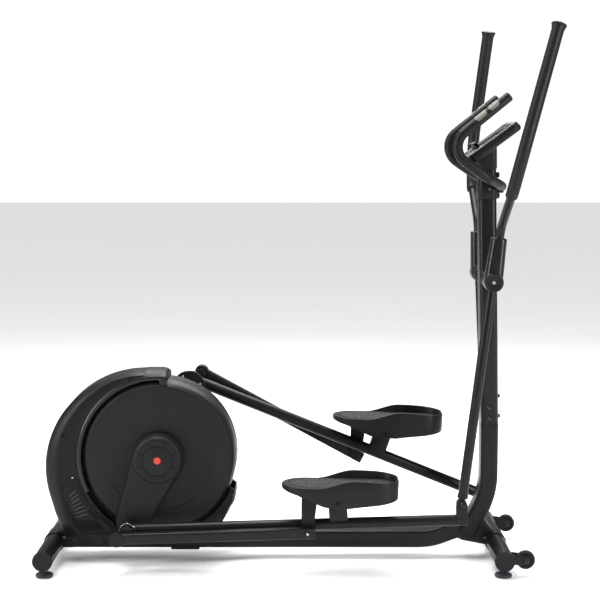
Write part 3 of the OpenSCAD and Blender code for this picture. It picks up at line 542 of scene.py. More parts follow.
def frame_pieces():
    fixed("main_beam", "frame_paint", POWDER, [main_beam(), rear_block()], hides=["base_frame"])
    fixed("front_gusset", "frame_paint", POWDER, nose_gusset())
    fixed("stabiliser_saddles", "frame_paint", POWDER, [saddle(REAR_X), saddle(FRONT_X)])
    fixed("drive_plates", "frame_paint", POWDER, drive_bracket())
    fixed("beam_pad", "cap_plastic", BLACK_RUBBER, block((92, 44, 8), (-357, 0, 32), 2, 5),
          hides=["frame_pad"])
    stabilisers()
    end_caps()
    feet()
    wheels()
    frame_bolts()


def stabilisers():
    for name, x in (("rear", REAR_X), ("front", FRONT_X)):
        loop = eased([(30, -STABILISER_HALF), (30, STABILISER_HALF), (27.5, STABILISER_HALF),
                      (27.5, -STABILISER_HALF)], 0.8, True)
        shells = [turned(loop, point(x, STABILISER_Z), 1, 96, loop=True)]
        if name == "front":
            shells += [shell for side in SIDES for shell in wheel_fork(side)]
        fixed(f"{name}_stabiliser_tube", "frame_paint", POWDER, shells, hides=[f"{name}_stabiliser"])


WHEEL = point(FRONT_X + 69, 53)
WHEEL_Y = 230


def wheel_fork(side):
    root = point(FRONT_X + 27, STABILISER_Z)
    cheeks = [plate(strip(root, WHEEL, 17, 15), d, d + 4, side, 1) for d in (WHEEL_Y - 15, WHEEL_Y + 11)]
    return cheeks + [turned([(5, WHEEL_Y - 19), (5, WHEEL_Y + 19)], WHEEL, side, 32)]


def end_caps():
    shells = []
    for x in (REAR_X, FRONT_X):
        for side in SIDES:
            d = STABILISER_HALF
            profile = bent([(26, d - 10), (27.4, d - 10, 1), (27.4, d - 0.4), (31.5, d - 0.4, 0.8),
                            (31.5, d + 8, 2.4), (27, d + 8, 0.4), (26.4, d + 7.2, 0.3), (0.1, d + 7.2)])
            shells.append(turned(profile, point(x, STABILISER_Z), side))
    fixed("stabiliser_end_caps", "cap_plastic", CAP, shells, hides=["stabiliser_caps"])


def standing(profile, x, y, segments=64, loop=False):
    """A profile of (radius, z) turned about a vertical axis."""
    return skin([[Vector((x + q.x, y + q.y, z)) for q in circle(ORIGIN, r, segments)] for r, z in profile],
                loop)


def feet():
    foot_y = STABILISER_HALF - 31
    for end, x in (("front", FRONT_X), ("rear", REAR_X)):
        for side, name in SIDES.items():
            y = side * foot_y
            rubber = bent([(0.1, 0), (24, 0, 1.5), (27, 3.5, 2), (27, 9, 3), (21, 13, 4), (10, 17, 2),
                           (0.1, 17)])
            piece(f"{end}_{name}_foot_disc", f"{end}_{name}_foot", "foot_rubber", FOOT,
                  standing(rubber, x, y), hides=[f"foot_{end}_{name}"])
            hexagon = [point(x, y) + polar(8, 60 * k) for k in range(6)]
            nut = stack(hexagon, ((0.8, 17), (0, 17.5), (0, 19.5), (0.8, 20.2)))
            thread = [(4 - (0.45 if k % 2 else 0), 16 + 0.75 * k) for k in range(42)]
            piece(f"{end}_{name}_foot_stem", f"{end}_{name}_foot", "bright_steel", ZINC,
                  [nut, standing(thread, x, y, 28)])


def wheels():
    for side, name in SIDES.items():
        d = WHEEL_Y
        tyre = eased([(20, d - 8), (29, d - 8), (29, d + 8), (20, d + 8)], 3, True, 6)
        web = bent([(5.1, d - 10), (15, d - 10, 1.5), (16, d - 4, 1), (21, d - 4), (21, d + 4),
                    (16, d + 4, 1), (15, d + 10, 1.5), (5.1, d + 10)], True)
        piece(f"transport_wheel_{name}", f"{name}_wheel", "cap_plastic", CAP,
              [turned(web, WHEEL, side, 64, loop=True)], hides=[f"wheel_{name}"])
        piece(f"wheel_tyre_{name}", f"{name}_wheel", "foot_rubber", BLACK_RUBBER,
              [turned(tyre, WHEEL, side, 96, loop=True)])
        fixed(f"wheel_bolt_{name}", "bright_steel", GLOSS,
              bolt(WHEEL, side, WHEEL_Y + 15, 8.5, 4.5) + bolt(WHEEL, -side, -WHEEL_Y + 15, 8.5, 4.5))


def frame_bolts():
    shells = []
    for x, angle in ((REAR_X, 22), (FRONT_X, 158)):
        place = along(point(x, STABILISER_Z), angle)
        for y in (-38, 38):
            washer = standing([(6.6, 33), (6.8, 33.8), (6.6, 34.6)], 0, 0, 32)
            nut = stack([polar(5.2, 60 * k) for k in range(6)],
                        ((0.5, 34.2), (0, 34.8), (0, 38.6), (0.8, 39.4)))
            stem = standing([(2.6, 38), (2.6, 41), (2, 41.7)], 0, 0, 20)
            turn = place @ Matrix.Translation((0, y, 0)) @ Matrix.Rotation(math.radians(90), 4, "Y")
            shells += [shell.moved(turn) for shell in (washer, nut, stem)]
    fixed("saddle_nuts", "bright_steel", DULL, shells, hides=["frame_bolts"])
    joint_bolts = []
    washers = []
    for z in (MAST_JOINT + 17, MAST_JOINT + 51):
        for side in SIDES:
            centre = point(upper_x(z) - 2, z)
            joint_bolts += bolt(centre, side, MAST_W / 2 + 0.6, 9, 5)
            washers.append(turned([(2.8, MAST_W / 2 + 3.4), (2.8, MAST_W / 2 + 3.9),
                                   (0.1, MAST_W / 2 + 3.9)], centre, side, 6))
    for z in (MAST_JOINT + 20, MAST_JOINT + 85):
        turn = on_mast(z) @ Matrix.Rotation(math.radians(90), 4, "Z")
        profile = bent([(8.2, MAST_D / 2 - 1), (8, MAST_D / 2 + 1.5, 1), (4.8, MAST_D / 2 + 9, 2),
                        (0.1, MAST_D / 2 + 9.6)])
        joint_bolts.append(turned(profile, ORIGIN, -1, 40).moved(turn))
    fixed("mast_joint_bolts", "frame_paint", GLOSS, joint_bolts)
    fixed("mast_bolt_sockets", "bright_steel", DULL, washers)


# ---- Mast ----

def mast_pieces():
    path = eased([(553, 86), (622.5, 210.3), (622.5, MAST_JOINT - 0.3)], 380, steps=14)
    foot = swept([Vector((p.x, 0, p.y)) for p in path], rounded(MAST_D, MAST_W, 11))
    fixed("mast_foot", "frame_paint", POWDER, foot, hides=["mast_lower"])
    length = MAST_TOP - MAST_JOINT
    post = swept([Vector((0, 0, z)) for z in (0.3, 1.3, length - 1, length)], rounded(MAST_D, MAST_W, 15, 8),
                 scales=[0.985, 1, 1, 0.985])
    fixed("mast_post", "frame_paint", POWDER, post, on_mast(MAST_JOINT), hides=["mast_upper"])
    axle = [turned([(0.1, -TRACK - 30), (AXLE_R, -TRACK - 30, 1.5), (AXLE_R, TRACK + 30, 1.5),
                    (0.1, TRACK + 30)], ARM_PIVOT, 1, 64)]
    for side in SIDES:
        axle.append(turned([(10, 38), (22, 38), (22, 48, 2), (10, 48)], ARM_PIVOT, side, 64))
    fixed("pivot_shaft", "bright_steel", ZINC, axle, hides=["pivot_axle"])


# ---- Housing ----

GAP_START, GAP_END = 99.5, 335.5
TOE_R = 282
TOE_START, TOE_BEND, TOE_ROUND = 294, 318, 327
RIM_POINTS = 150
ARCH_R, LID_FOOT = 246.6, 594
FLOOR_CUT = 62


def ray_circle(direction, centre, radius):
    """How far from the hub a ray leaves a circle."""
    to = centre - HUB
    b = to.dot(direction)
    return b + math.sqrt(max(0, b * b - to.length_squared + radius * radius))


def casing_reach(degrees):
    """The distance from the hub to the casing's outer edge at an angle."""
    direction = polar(1, degrees)
    reach = ray_circle(direction, CASING_CENTRE, CASING_R)
    if 180 < degrees < 300:
        start, end = BELLY_TANGENT
        edge = end - start
        to = start - HUB
        on_straight = (to.x * edge.y - to.y * edge.x) / (direction.x * edge.y - direction.y * edge.x)
        share = (direction * on_straight - to).dot(edge) / edge.length_squared
        if 0 < share < 1:
            reach = on_straight
        elif share >= 1:
            reach = max(reach, ray_circle(direction, BELLY_CENTRE, BELLY_R))
    floor = (FLOOR_CUT - HUB.y) / direction.y if direction.y < 0 else math.inf
    reach = min(reach, floor)
    if degrees > TOE_START:
        toe = min(TOE_R, floor) if degrees < TOE_BEND else TOE_R - 3 * (degrees - TOE_BEND) / 22
        reach = max(reach, toe) - 0.2 * max(0, degrees - TOE_ROUND) ** 2
    return reach


def belly_tangent():
    """Where the straight between the casing's two circles leaves each of them, on the rear side."""
    axis = BELLY_CENTRE - CASING_CENTRE
    lean = heading(axis) - math.degrees(math.acos((CASING_R - BELLY_R) / axis.length))
    return CASING_CENTRE + polar(CASING_R, lean), BELLY_CENTRE + polar(BELLY_R, lean)


BELLY_TANGENT = belly_tangent()


def bevel_depth(degrees):
    """How far the casing's sloping edge reaches inwards at an angle about the hub."""
    return float(np.interp(degrees, (100, 118, 150, 185, 205, 232, 240, 262, 341),
                           (5, 10, 30, 46, 38, 30, 12, 9, 9)))


def casing_outline():
    """The casing's face: the rim, and back along the gap around the drum, which the toe hugs."""
    inner = [HUB + polar(np.interp(a, (288, 306), (GAP_R, 247.5)), a)
             for a in np.linspace(GAP_END, GAP_START, RIM_POINTS)]
    return rim_outline() + inner


def rim_outline():
    """The casing's outline from its tip around the back and along the floor to its toe."""
    return [HUB + polar(casing_reach(a), a) for a in np.linspace(GAP_START, GAP_END, RIM_POINTS)]


def wall(outline, thick, d0, d1, side):
    """A thin wall that follows an open line across the machine."""
    inner = []
    for i, p in enumerate(outline):
        ahead = (outline[min(i + 1, len(outline) - 1)] - outline[max(i - 1, 0)]).normalized()
        inner.append(p + Vector((-ahead.y, ahead.x)) * thick)
    loop = outline + inner[::-1]
    return skin([[Vector((q.x, side * d, q.y)) for q in loop] for d in (d0, d1)])


SCREWS = [point(-522, 595), point(-737, 415), point(-608, 71)]


def casing_pieces():
    depths = [bevel_depth(a) for a in np.linspace(GAP_START, GAP_END, RIM_POINTS)] + [3.5] * RIM_POINTS
    outline = casing_outline()
    if counter_clockwise(outline) != outline:
        depths.reverse()
    for side, name in SIDES.items():
        layers = [(0.3, 50), (0.1, 50), (0, 51), (0, 56), (0.03, 60), (0.12, 66), (0.5, 77), (0.82, 83),
                  (0.94, 84.7), (1.08, 85)]
        face = layered(outline, [([depth * share for depth in depths], d) for share, d in layers], side)
        rim = wall(rim_outline(), 3, 0.25, 51, side)
        # The ledge and the middle web are near-black to paint the shade in the gap round the drum.
        ledge = turned(eased([(226, 66), (257, 66), (257, 69), (226, 69)], 0.8, True), HUB, side, 96,
                       start=104, sweep=229)
        fixed(f"casing_shell_{name}", "shell_plastic", SHELL, [face, rim], hides=[f"casing_{name}"])
        web = turned([(225, 0.3), (262, 0.3), (262, 3), (225, 3)], HUB, side, 96, start=104, sweep=229)
        fixed(f"casing_ledge_{name}", "shell_plastic", SHADE_BLACK, [ledge, web])
        lip = turned([(257, 70, 0.5), (262, 70, 0.5), (262, 85.4, 1), (259, 86, 1), (257, 84, 1)], HUB, side,
                     60, loop=True, start=206, sweep=30)
        fixed(f"casing_lip_{name}", "shell_plastic", SHELL, lip)
        vent(side, name)
        screw_recesses(side, name)
        drum(side, name)
    tip()
    # The casing's screws are near-black discs: painted shade down in their holes.
    old_screws = [turned([(3.4, 84.5), (3.4, 85.3)], p, side, 24) for p in SCREWS for side in SIDES]
    fixed("casing_screw_heads", "bright_steel", SHADE_BLACK, old_screws, hides=["casing_screws"])


def screw_recesses(side, name):
    rings = [turned(eased([(8.4, 84.6), (8.4, 85.35), (4.6, 85.35), (4.6, 84.6)], 0.3, True), p, side, 32,
                    loop=True) for p in SCREWS]
    # Near-black discs in the collars: painted shade in the screw holes.
    holes = [turned([(6.6, 84.8), (6.6, 85.5)], p, side, 32) for p in SCREWS]
    fixed(f"screw_collars_{name}", "shell_plastic", SHELL, rings)
    fixed(f"screw_hole_shade_{name}", "shell_plastic", SHADE_BLACK, holes)


def vent(side, name):
    outline = bent([(-709, 288, 8), (-694, 276, 10), (-682, 237, 40), (-655, 191, 60), (-628, 158, 60),
                    (-596, 130, 30), (-584, 116, 12), (-590, 99, 10), (-675, 97, 16), (-696, 112, 30),
                    (-721, 152, 60), (-738, 194, 60), (-745, 233, 40), (-744, 250, 20), (-729, 271, 16)],
                   True)
    outline = counter_clockwise(outline)
    # A near-black band round the vent panel: painted shade in its groove.
    groove = plate(outline, 83.5, 85.15, side, 0.2)
    base = plate(inset(outline, 3.2), 84, 86, side, 1.4)
    # Flat near-black plates over the vent: painted shade in its recess.
    recess = bent([(-728, 211, 4), (-719, 170, 20), (-700, 144, 12), (-632, 139, 12), (-604, 107, 5),
                   (-679, 107, 14), (-697, 120, 30), (-719, 160, 60), (-732, 194, 12)], True)
    sliver = bent([(-666, 191, 2), (-630, 149, 20), (-619, 136, 2), (-637, 143, 8), (-653, 162, 30)], True)
    ribs = []
    for k in range(7):
        low = point(-718 + 3.6 * k, 219 - 11.2 * k)
        high = point(-700 + 6.4 * k, 237 - 12.6 * k)
        ribs.append(plate(strip(low, high, 2, 1.7, 8), 85.6, 87.6, side, 1))
    fixed(f"vent_groove_shade_{name}", "cap_plastic", SHADE_BLACK, groove)
    fixed(f"vent_base_{name}", "cap_plastic", SHELL, base, hides=["vent_panels"])
    # The ribs take a lighter black than the vent: painted light on them.
    fixed(f"vent_ribs_{name}", "cap_plastic", RIB_PAINTED_LIGHT, ribs)
    fixed(f"vent_recess_shade_{name}", "cap_plastic", SHADE_BLACK,
          [plate(recess, 85.4, 86.2, side, 0.3), plate(sliver, 85.4, 86.2, side, 0.3)])
    fixed(f"vent_screw_{name}", "bright_steel", ZINC, bolt(point(-709, 279), side, 86, 2.6, 1.3, False))


def drum(side, name):
    half = DRUM_HALF
    face = bent([(36, half - 4), (225, half - 4, 6), (235, 77, 6), (237, 69.4, 0.4), (241.2, 69.4, 0.4),
                 (239, 78, 14), (229.5, half, 3), (172, half, 0.8), (169.5, half - 1.2, 0.8),
                 (36, half - 1.2)], True, 7)
    # Only the front of the drum has a rim; at the back the casing closes it.
    rim = bent([(242.8, 0.4), (245.8, 0.4, 0.3), (245.8, 44, 30), (243.5, 62, 30), (241.3, 70, 0.4),
                (237.8, 70, 0.4), (240.4, 62, 30), (242.8, 44, 30)], True, 5)
    fixed(f"drum_shell_{name}", "shell_plastic", DISC,
          [turned(face, HUB, side, 180, loop=True), turned(rim, HUB, side, 90, start=-48, sweep=144)],
          hides=[f"drum_cover_{name}"])


def tip():
    """The cap on the casing's top: a lid that slopes off to both sides, and a glossy lip along the gap."""
    def cap(drop, d):
        arch = [(x, HUB.y + math.sqrt(ARCH_R ** 2 - (x - HUB.x) ** 2))
                for x in (-408, -424, -440, -456, -472)]
        loop = bent([(-490, 615.3), (-474, 617.3, 4), (-425, 617.3, 12), (-411, 613.3, 10), (-404.7, 600, 5),
                     (-406, 593, 3)] + arch, True)
        return [Vector((q.x, d, q.y - drop * max(0, q.y - LID_FOOT) / 23.3)) for q in loop]
    levels = [(85, 13.2), (84.4, 12.4), (82, 11.4), (74, 8.6), (62, 5), (50, 1.6), (40, 0.3), (30, 0)]
    rings = [cap(drop, -d) for d, drop in levels] + [cap(drop, d) for d, drop in levels[::-1]]
    fixed("casing_tip_lid", "shell_plastic", SHELL, skin(rings))
    trim = []
    for side in SIDES:
        trim.append(turned([(248, 80, 1), (261, 80, 1), (261, 85.6, 3), (255, 88.6, 3), (248, 88, 1)], HUB,
                           side, 96, loop=True, start=86, sweep=120))
        trim.append(turned([(12, 84), (12, 89, 2), (9, 90.4, 2), (0.1, 90.6)], point(-418, 588), side, 48))
    fixed("casing_tip_trim", "gloss_plastic", GLOSS, trim, hides=["casing_tip"])


# ---- Cranks ----

def crank_pieces():
    for side, name in SIDES.items():
        link = Linkage(side)
        outline = strip(HUB, HUB + polar(COVER_REACH, link.crank_angle), 82, 53, 40)
        layers = [(1, 97.2), (0, 98), (0, 109), (0.4, 112), (1.4, 115), (6.4, 129.8), (7.6, 131.8),
                  (9, 132.7), (11, 133)]
        piece(f"crank_shell_{name}", "crank", "shell_plastic", CAP, layered(outline, layers, side),
              hides=["crank_covers"])
        boss = turned([(13.8, 130), (13.8, 149.8, 1.5), (0.1, 149.8)], link.crank_pin, side, 48)
        piece(f"crank_boss_{name}", "crank", "bright_steel", GLOSS, boss)
        across = [HUB + polar(237, link.crank_angle) + polar(shift, link.crank_angle - 90)
                  for shift in (-31, 31)]
        screws = [shell for p in across for shell in bolt(p, -side, -CRANK_IN - 0.3, 4.2, 2.2)]
        piece(f"crank_screws_{name}", "crank", "bright_steel", ZINC, screws)
        hub_cap(side, name, link.crank_angle)


def hub_cap(side, name, crank_angle):
    profile = bent([(73, 132.5), (74, 132.5), (74, 137, 2.2), (69.5, 141.6), (68.6, 142), (60, 142.1),
                    (49.6, 142), (48, 141.7), (47.4, 140.4), (46.6, 140.4), (46, 141.9), (44.5, 142.4),
                    (0.1, 142.4)])
    rings = []
    for r, d in profile:
        ring = []
        for a in range(360):
            turn = (a - crank_angle) % 45
            near = min(turn, 45 - turn) * math.radians(1) * r < 1.3
            notch = near and 48.5 < r < 69 and 20 < (a - crank_angle) % 360 < 340
            q = HUB + polar(r, a)
            ring.append(Vector((q.x, side * (d - (1.6 if notch else 0)), q.y)))
        rings.append(ring)
    piece(f"hub_disc_{name}", "crank", "shell_plastic", CAP, skin(rings), hides=["hub_caps"], sharp=25)
    dot = turned([(11, 142.2), (11, 142.9, 0.5), (0.1, 143.0)], HUB, side, 64)
    piece(f"hub_dot_{name}", "crank", "gloss_plastic", RED, dot)


# ---- Swing arms ----

HANDLE_PATH = ((0, TRACK + 2, 40), (1, TRACK + 4, 168), (2, 316, 280), (14, 360, 420), (72, 288, 785))
HANDLE_STEPS = 14
FOAM_START = HANDLE_STEPS + 3


def handle_curve(side):
    points = [Vector((x, side * d, z)) for x, d, z in HANDLE_PATH]
    return eased(points, [0, 60, 60, 250, 0], steps=HANDLE_STEPS)


def swing_arm(link):
    side, y = link.side, link.y
    curve = handle_curve(side)
    handle = tube(curve[:-1] + [curve[-2].lerp(curve[-1], 0.5)], 13.5, 48)
    lower = [straight((0, y, -ARM_LENGTH + 21), (0, y, -10), 15.5, 48),
             straight((0, y, -ARM_LENGTH + 20), (0, y, -ARM_LENGTH + 34), 17, 48, 2),
             turned([(6.1, 168), (17, 168, 2), (17, 188, 2), (6.1, 188)], point(0, -ARM_LENGTH), side, 56,
                    loop=True)]
    hub = turned([(10.1, 62), (22, 62, 1), (22, 200, 1), (10.1, 200)], ORIGIN, side, 56, loop=True)
    link.add("swing_arm", "swing_tube", "frame_paint", POWDER, lower + [hub], "swing_arm")
    link.add("swing_arm", "handle_tube", "frame_paint", POWDER, handle)
    lower_pin = point(0, -ARM_LENGTH)
    pin = [turned([(6, 153), (6, 201)], lower_pin, side, 40)]
    pin += bolt(lower_pin, side, 197, 9.5, 6) + bolt(lower_pin, -side, -159 + 0.4, 9.5, 6)
    link.add("swing_arm", "lower_pin", "frame_paint", GLOSS, pin)


def sleeve(link):
    side, y = link.side, link.y
    barrel = turned([(0.1, 148.5), (29.5, 148.5, 3), (29.5, 211.6, 4), (24, 211.6, 0.6), (23, 210.8, 0.6),
                     (6, 210.8, 0.6), (5, 207), (0.1, 207)], ORIGIN, side, 96)
    levels = [(4, 57.5, 54.5, 0), (40, 55.4, 51.5, 0), (128, 49, 44, 0), (133, 48.6, 43.6, 0),
              (135.6, 48, 43, 1), (136.8, 48, 43, 3), (137, 48, 43, 5.5)]
    body = skin([[Vector((q.x, y + q.y, z)) for q in inset(rounded(w, h, 19, 10), grow)]
                 for z, w, h, grow in levels])
    collar = standing(eased([(13.8, 134.8), (18.5, 134.8), (18.5, 138), (13.8, 138)], 1, True),
                      0.5, y + side * 4, 48, loop=True)
    folds = [(r, 66 + 14 * k + d) for k in range(6) for r, d in ((24, 0), (27, 1), (27, 7), (24, 8))]
    cuff = eased([(10.3, 64.5), (24, 64.5)] + folds + [(24, 148.5), (10.3, 148.5)], 0.9, True, 3)
    link.add("swing_arm", "pivot_sleeve", "gloss_plastic", GLOSS, [barrel, body, collar], "arm_sleeve")
    link.add("swing_arm", "pivot_cuff", "gloss_plastic", CAP, turned(cuff, ORIGIN, side, 72, loop=True))
    link.add("swing_arm", "sleeve_screw", "bright_steel", DULL, bolt(ORIGIN, side, 206.4, 2.2, 1.6, False))


def grip(link):
    curve = handle_curve(link.side)
    top = curve[-1]
    run = (top - curve[-2]).normalized()
    stations = [(curve[FOAM_START] - (curve[FOAM_START] - curve[FOAM_START - 1]) * 0.5, 16.2),
                (curve[FOAM_START], 18.6)]
    stations += [(p, 19) for p in curve[FOAM_START + 1:-1]]
    stations += [(top - run * back, r) for back, r in ((14, 19), (11, 19.4), (7, 20.6), (1, 21.4), (0, 21))]
    foam = swept([p for p, _ in stations], circle(ORIGIN, 1, 48), (0, 1, 0), [r for _, r in stations])
    cap = [(-0.6, 22), (0.4, 23), (1.6, 23.4), (4.2, 23.4), (6, 22.6), (7, 20.6), (7.2, 17)]
    end = swept([top + run * ahead for ahead, _ in cap], circle(ORIGIN, 1, 48), (0, 1, 0),
                [r for _, r in cap])
    link.add("swing_arm", "grip_foam", "foam", FOAM, foam, "handle_grip")
    link.add("swing_arm", "grip_cap", "cap_plastic", CAP, end)


# ---- Pedal bars, return cranks and links ----

def pedal_bar(link):
    side, y = link.side, link.y
    nose = point(BAR_LENGTH + 16, -50)
    slope = nose.y / nose.x
    bar = straight((0, y, 0), (nose.x, y, nose.y), 18, 56, 2.5)
    barrel = turned([(10.1, BEARING_IN), (24, BEARING_IN, 2), (24, BEARING_OUT, 2), (10.1, BEARING_OUT)],
                    ORIGIN, side, 72, loop=True)
    foot = point(PEDAL_ALONG, slope * PEDAL_ALONG)
    outline = [foot + point(-29, 11), point(PEDAL_ALONG - 29, PEDAL_UP + 6),
               point(PEDAL_ALONG - 14, PEDAL_UP + 17), point(PEDAL_ALONG + 14, PEDAL_UP + 17),
               point(PEDAL_ALONG + 29, PEDAL_UP + 6), foot + point(29, 9)]
    bracket = plate(eased(outline, [4, 12, 12, 12, 12, 4], True), TRACK - 16, TRACK + 16, side, 2.5, 2.5)
    web = [plate(strip(point(BAR_LENGTH, 0), point(BAR_LENGTH - 2, -46), 17, 17), d, d + 5, side, 1.2, 1.2)
           for d in (TRACK - 17, TRACK + 12)]
    link.add("pedal_bar", "bar_tube", "frame_paint", POWDER, [bar, barrel, bracket] + web, "pedal_bar")
    ring = turned(eased([(24.05, 192), (24.9, 192), (24.9, 199), (24.05, 199)], 0.3, True), ORIGIN, side, 72,
                  loop=True)
    link.add("pedal_bar", "bar_bearing_ring", "bright_steel", CHROME, ring)


def return_crank(link):
    side = link.side
    pin = turned([(9.4, 153), (10, 153.6), (10, 204)], link.crank_pin, side, 48)
    cheek = plate(strip(link.crank_pin, link.small_pin, 17, 14), 203.6, 210, side, 1)
    small = turned([(8, 209), (8, 235.4), (7.4, 236)], link.small_pin, side, 40)
    link.add("return_crank", "return_crank_shape", "bright_steel", GLOSS, [pin, cheek, small],
             "return_crank")


def pedal_link(link):
    side = link.side
    middle = side * (LINK_IN + LINK_OUT) / 2
    section = rounded(34, LINK_OUT - LINK_IN, 7)
    stations = [(12, 1), (LINK_LENGTH + 22.6, 1), (LINK_LENGTH + 24, 0.95)]
    bar = swept([Vector((x, middle, 0)) for x, _ in stations], section, scales=[k for _, k in stations])
    barrel = turned([(15.2, LINK_IN + 0.4), (23, LINK_IN + 0.4, 1.5), (23, LINK_OUT + 3, 2),
                     (0.1, LINK_OUT + 3), (0.1, LINK_OUT - 2), (15.2, LINK_OUT - 2)], ORIGIN, side, 72,
                    loop=True)
    link.add("pedal_link", "link_tube", "frame_paint", POWDER, [bar, barrel], "pedal_link")
    cap = turned([(20.5, LINK_OUT + 2.8), (20.5, LINK_OUT + 3.5, 0.3), (0.1, LINK_OUT + 3.6)], ORIGIN, side,
                 72)
    link.add("pedal_link", "link_cap", "frame_paint", CAP, cap)


# ---- Pedals ----

HEEL_X, PEDAL_LENGTH, PEDAL_HALF = -174, 364, 90
TOE_X = HEEL_X + PEDAL_LENGTH
TREAD_UP, RIM_UP = 43, 28
HEEL_R, TOE_CORNER = 82, 66
UNDERSIDE = ((-174, 30), (-150, 24), (-128, 20), (-86, 5), (-50, -11), (-36, -15), (36, -16), (58, -12),
             (130, -2), (170, 4), (190, 8))


def pedal_plan(count=176):
    """The pedal seen from above, with evenly spaced points, counter-clockwise."""
    side_step = PEDAL_HALF - TOE_CORNER
    toe, heel = TOE_X - TOE_CORNER, HEEL_X + HEEL_R
    base = math.degrees(math.atan2(PEDAL_HALF - HEEL_R, toe - heel))
    corners = circle(point(toe, -side_step), TOE_CORNER, 24, -90, 90)
    corners += circle(point(toe, side_step), TOE_CORNER, 24, 0, 90 + base)
    corners += circle(point(heel, 0), HEEL_R, 48, 90 + base, 180 - 2 * base)
    loop = corners + corners[:1]
    steps = [0]
    for a, b in zip(loop, loop[1:]):
        steps.append(steps[-1] + (b - a).length)
    xs = np.interp(np.linspace(0, steps[-1], count, endpoint=False), steps, [p.x for p in loop])
    ys = np.interp(np.linspace(0, steps[-1], count, endpoint=False), steps, [p.y for p in loop])
    return [point(x, y) for x, y in zip(xs, ys)]


def smooth(t):
    t = max(0, min(1, t))
    return t * t * (3 - 2 * t)


def rim_height(x):
    rise = smooth((x + 66) / 118)
    fall = smooth((x - 70) / 130)
    return TREAD_UP + 1.2 + (RIM_UP - 1.2) * rise - 5 * fall


def belly_height(x):
    return float(np.interp(x, [p[0] for p in UNDERSIDE], [p[1] for p in UNDERSIDE]))


def pedal_shell(y):
    plan = pedal_plan()

    def ring(grow, height):
        return [Vector((q.x, y + q.y, height(p.x))) for p, q in zip(plan, inset(plan, grow))]

    rings = [ring(8, lambda x: TREAD_UP - 7), ring(4.5, lambda x: TREAD_UP - 9),
             ring(4, lambda x: min(belly_height(x) + 4, TREAD_UP - 9.5)),
             ring(3.4, lambda x: belly_height(x) + 1), ring(2.2, belly_height),
             ring(1, lambda x: belly_height(x) + 0.5), ring(0.1, lambda x: belly_height(x) + 3)]
    rings += [ring(0, lambda x: belly_height(x) + 3 + share * (rim_height(x) - belly_height(x) - 6))
              for share in (0.3, 0.6)]
    rings += [ring(0, lambda x: rim_height(x) - 3.6), ring(0.5, lambda x: rim_height(x) - 1.7),
              ring(1.8, lambda x: rim_height(x) - 0.5), ring(3.6, rim_height),
              ring(5.4, lambda x: rim_height(x) - 0.5), ring(6.7, lambda x: rim_height(x) - 1.7),
              ring(7.3, lambda x: max(rim_height(x) - 3.6, TREAD_UP + 0.3)),
              ring(8.6, lambda x: TREAD_UP + 0.2), ring(10.5, lambda x: TREAD_UP)]
    return skin(rings)


def pedal(link):
    side, y = link.side, link.y
    shell = pedal_shell(y)
    leg = eased([LEG_DROP + point(-13, -14), LEG_DROP + point(13, -14), LEG_DROP + point(20.5, 28),
                 point(-58, 30), point(-58, 38), point(-112, 38), LEG_DROP + point(-20.5, 28)],
                [12, 12, 20, 14, 0, 0, 40], True)
    leg = plate(leg, LINK_IN - 11, LINK_IN - 3, side, 1.5, 1.5)
    cheek = bent([(-46, 34), (-30, -12, 8), (32, -12, 8), (46, 34)], True)
    cheeks = [plate(cheek, d, d + 8, side, 1) for d in (TRACK - 26, TRACK + 18)]
    ribs = [block((3, 2 * PEDAL_HALF - 40, 20), (x, y, TREAD_UP - 17), 0.8) for x in (-60, 62, 96, 130)]
    pin = turned([(7, 95), (7, 261)], ORIGIN, side, 40)
    link.add("pedal", "pedal_shell", "cap_plastic", PEDAL, [shell, leg] + cheeks + ribs, "pedal")
    rod = turned([(6, 205), (6, 248)], LEG_DROP, side, 32)
    link.add("pedal", "pedal_pins", "bright_steel", ZINC, [pin, rod])
    link.add("pedal", "link_bolt", "cap_plastic", GLOSS, bolt(LEG_DROP, side, LINK_OUT + 2, 8.5, 5))
    socket = turned([(3.4, LINK_OUT + 4.6), (3.4, LINK_OUT + 5.1), (0.1, LINK_OUT + 5.1)], LEG_DROP, side, 6)
    link.add("pedal", "link_bolt_socket", "bright_steel", ZINC, socket)
    # Near-black discs on the pedal's sides where the pin passes: painted shade in the holes.
    holes = []
    for s in (-1, 1):
        d = TRACK + s * 88.6
        holes.append(turned([(6.2, d - 1.6), (6.2, d + 1.6)], ORIGIN, side, 32))
    link.add("pedal", "pedal_hole_shade", "cap_plastic", SHADE_BLACK, holes)


def tread(link):
    y = link.y
    plan = inset(pedal_plan(), 12)
    base_z = TREAD_UP + 0.15
    base = stack(plan, ((0.2, base_z), (0, base_z + 0.4), (0, base_z + 0.9), (0.7, base_z + 1.2)), 0, y)
    xs = np.array([p.x for p in plan])
    ys = np.array([p.y for p in plan])
    upper = ys > 0
    order = np.argsort(xs[upper])
    pitch, dash, space = 6.4, 11, 4
    dashes = []
    for row, x in enumerate(np.arange(HEEL_X + 16, TOE_X - 14, pitch)):
        half = float(np.interp(x, xs[upper][order], ys[upper][order])) - 5
        start = -half + (0 if row % 2 else (dash + space) / 2)
        if row % 2 == 0:
            dashes.append(rib(x, y, -half, start - space, base_z + 1.1))
        at = start
        while at < half - 2.5:
            dashes.append(rib(x, y, at, min(at + dash, half), base_z + 1.1))
            at += dash + space
    link.add("pedal", "tread_sheet", "tread_rubber", TREAD, [base] + dashes, "tread_mat")
    studs = []
    for k in range(0, len(plan), 3):
        q = inset(plan, 9)[k]
        studs.append(standing(((3.4, base_z + 1), (3.4, base_z + 2.8), (2.3, base_z + 3.6)), q.x, y + q.y,
                              14))
    link.add("pedal", "tread_studs", "tread_rubber", BLACK_RUBBER, studs)


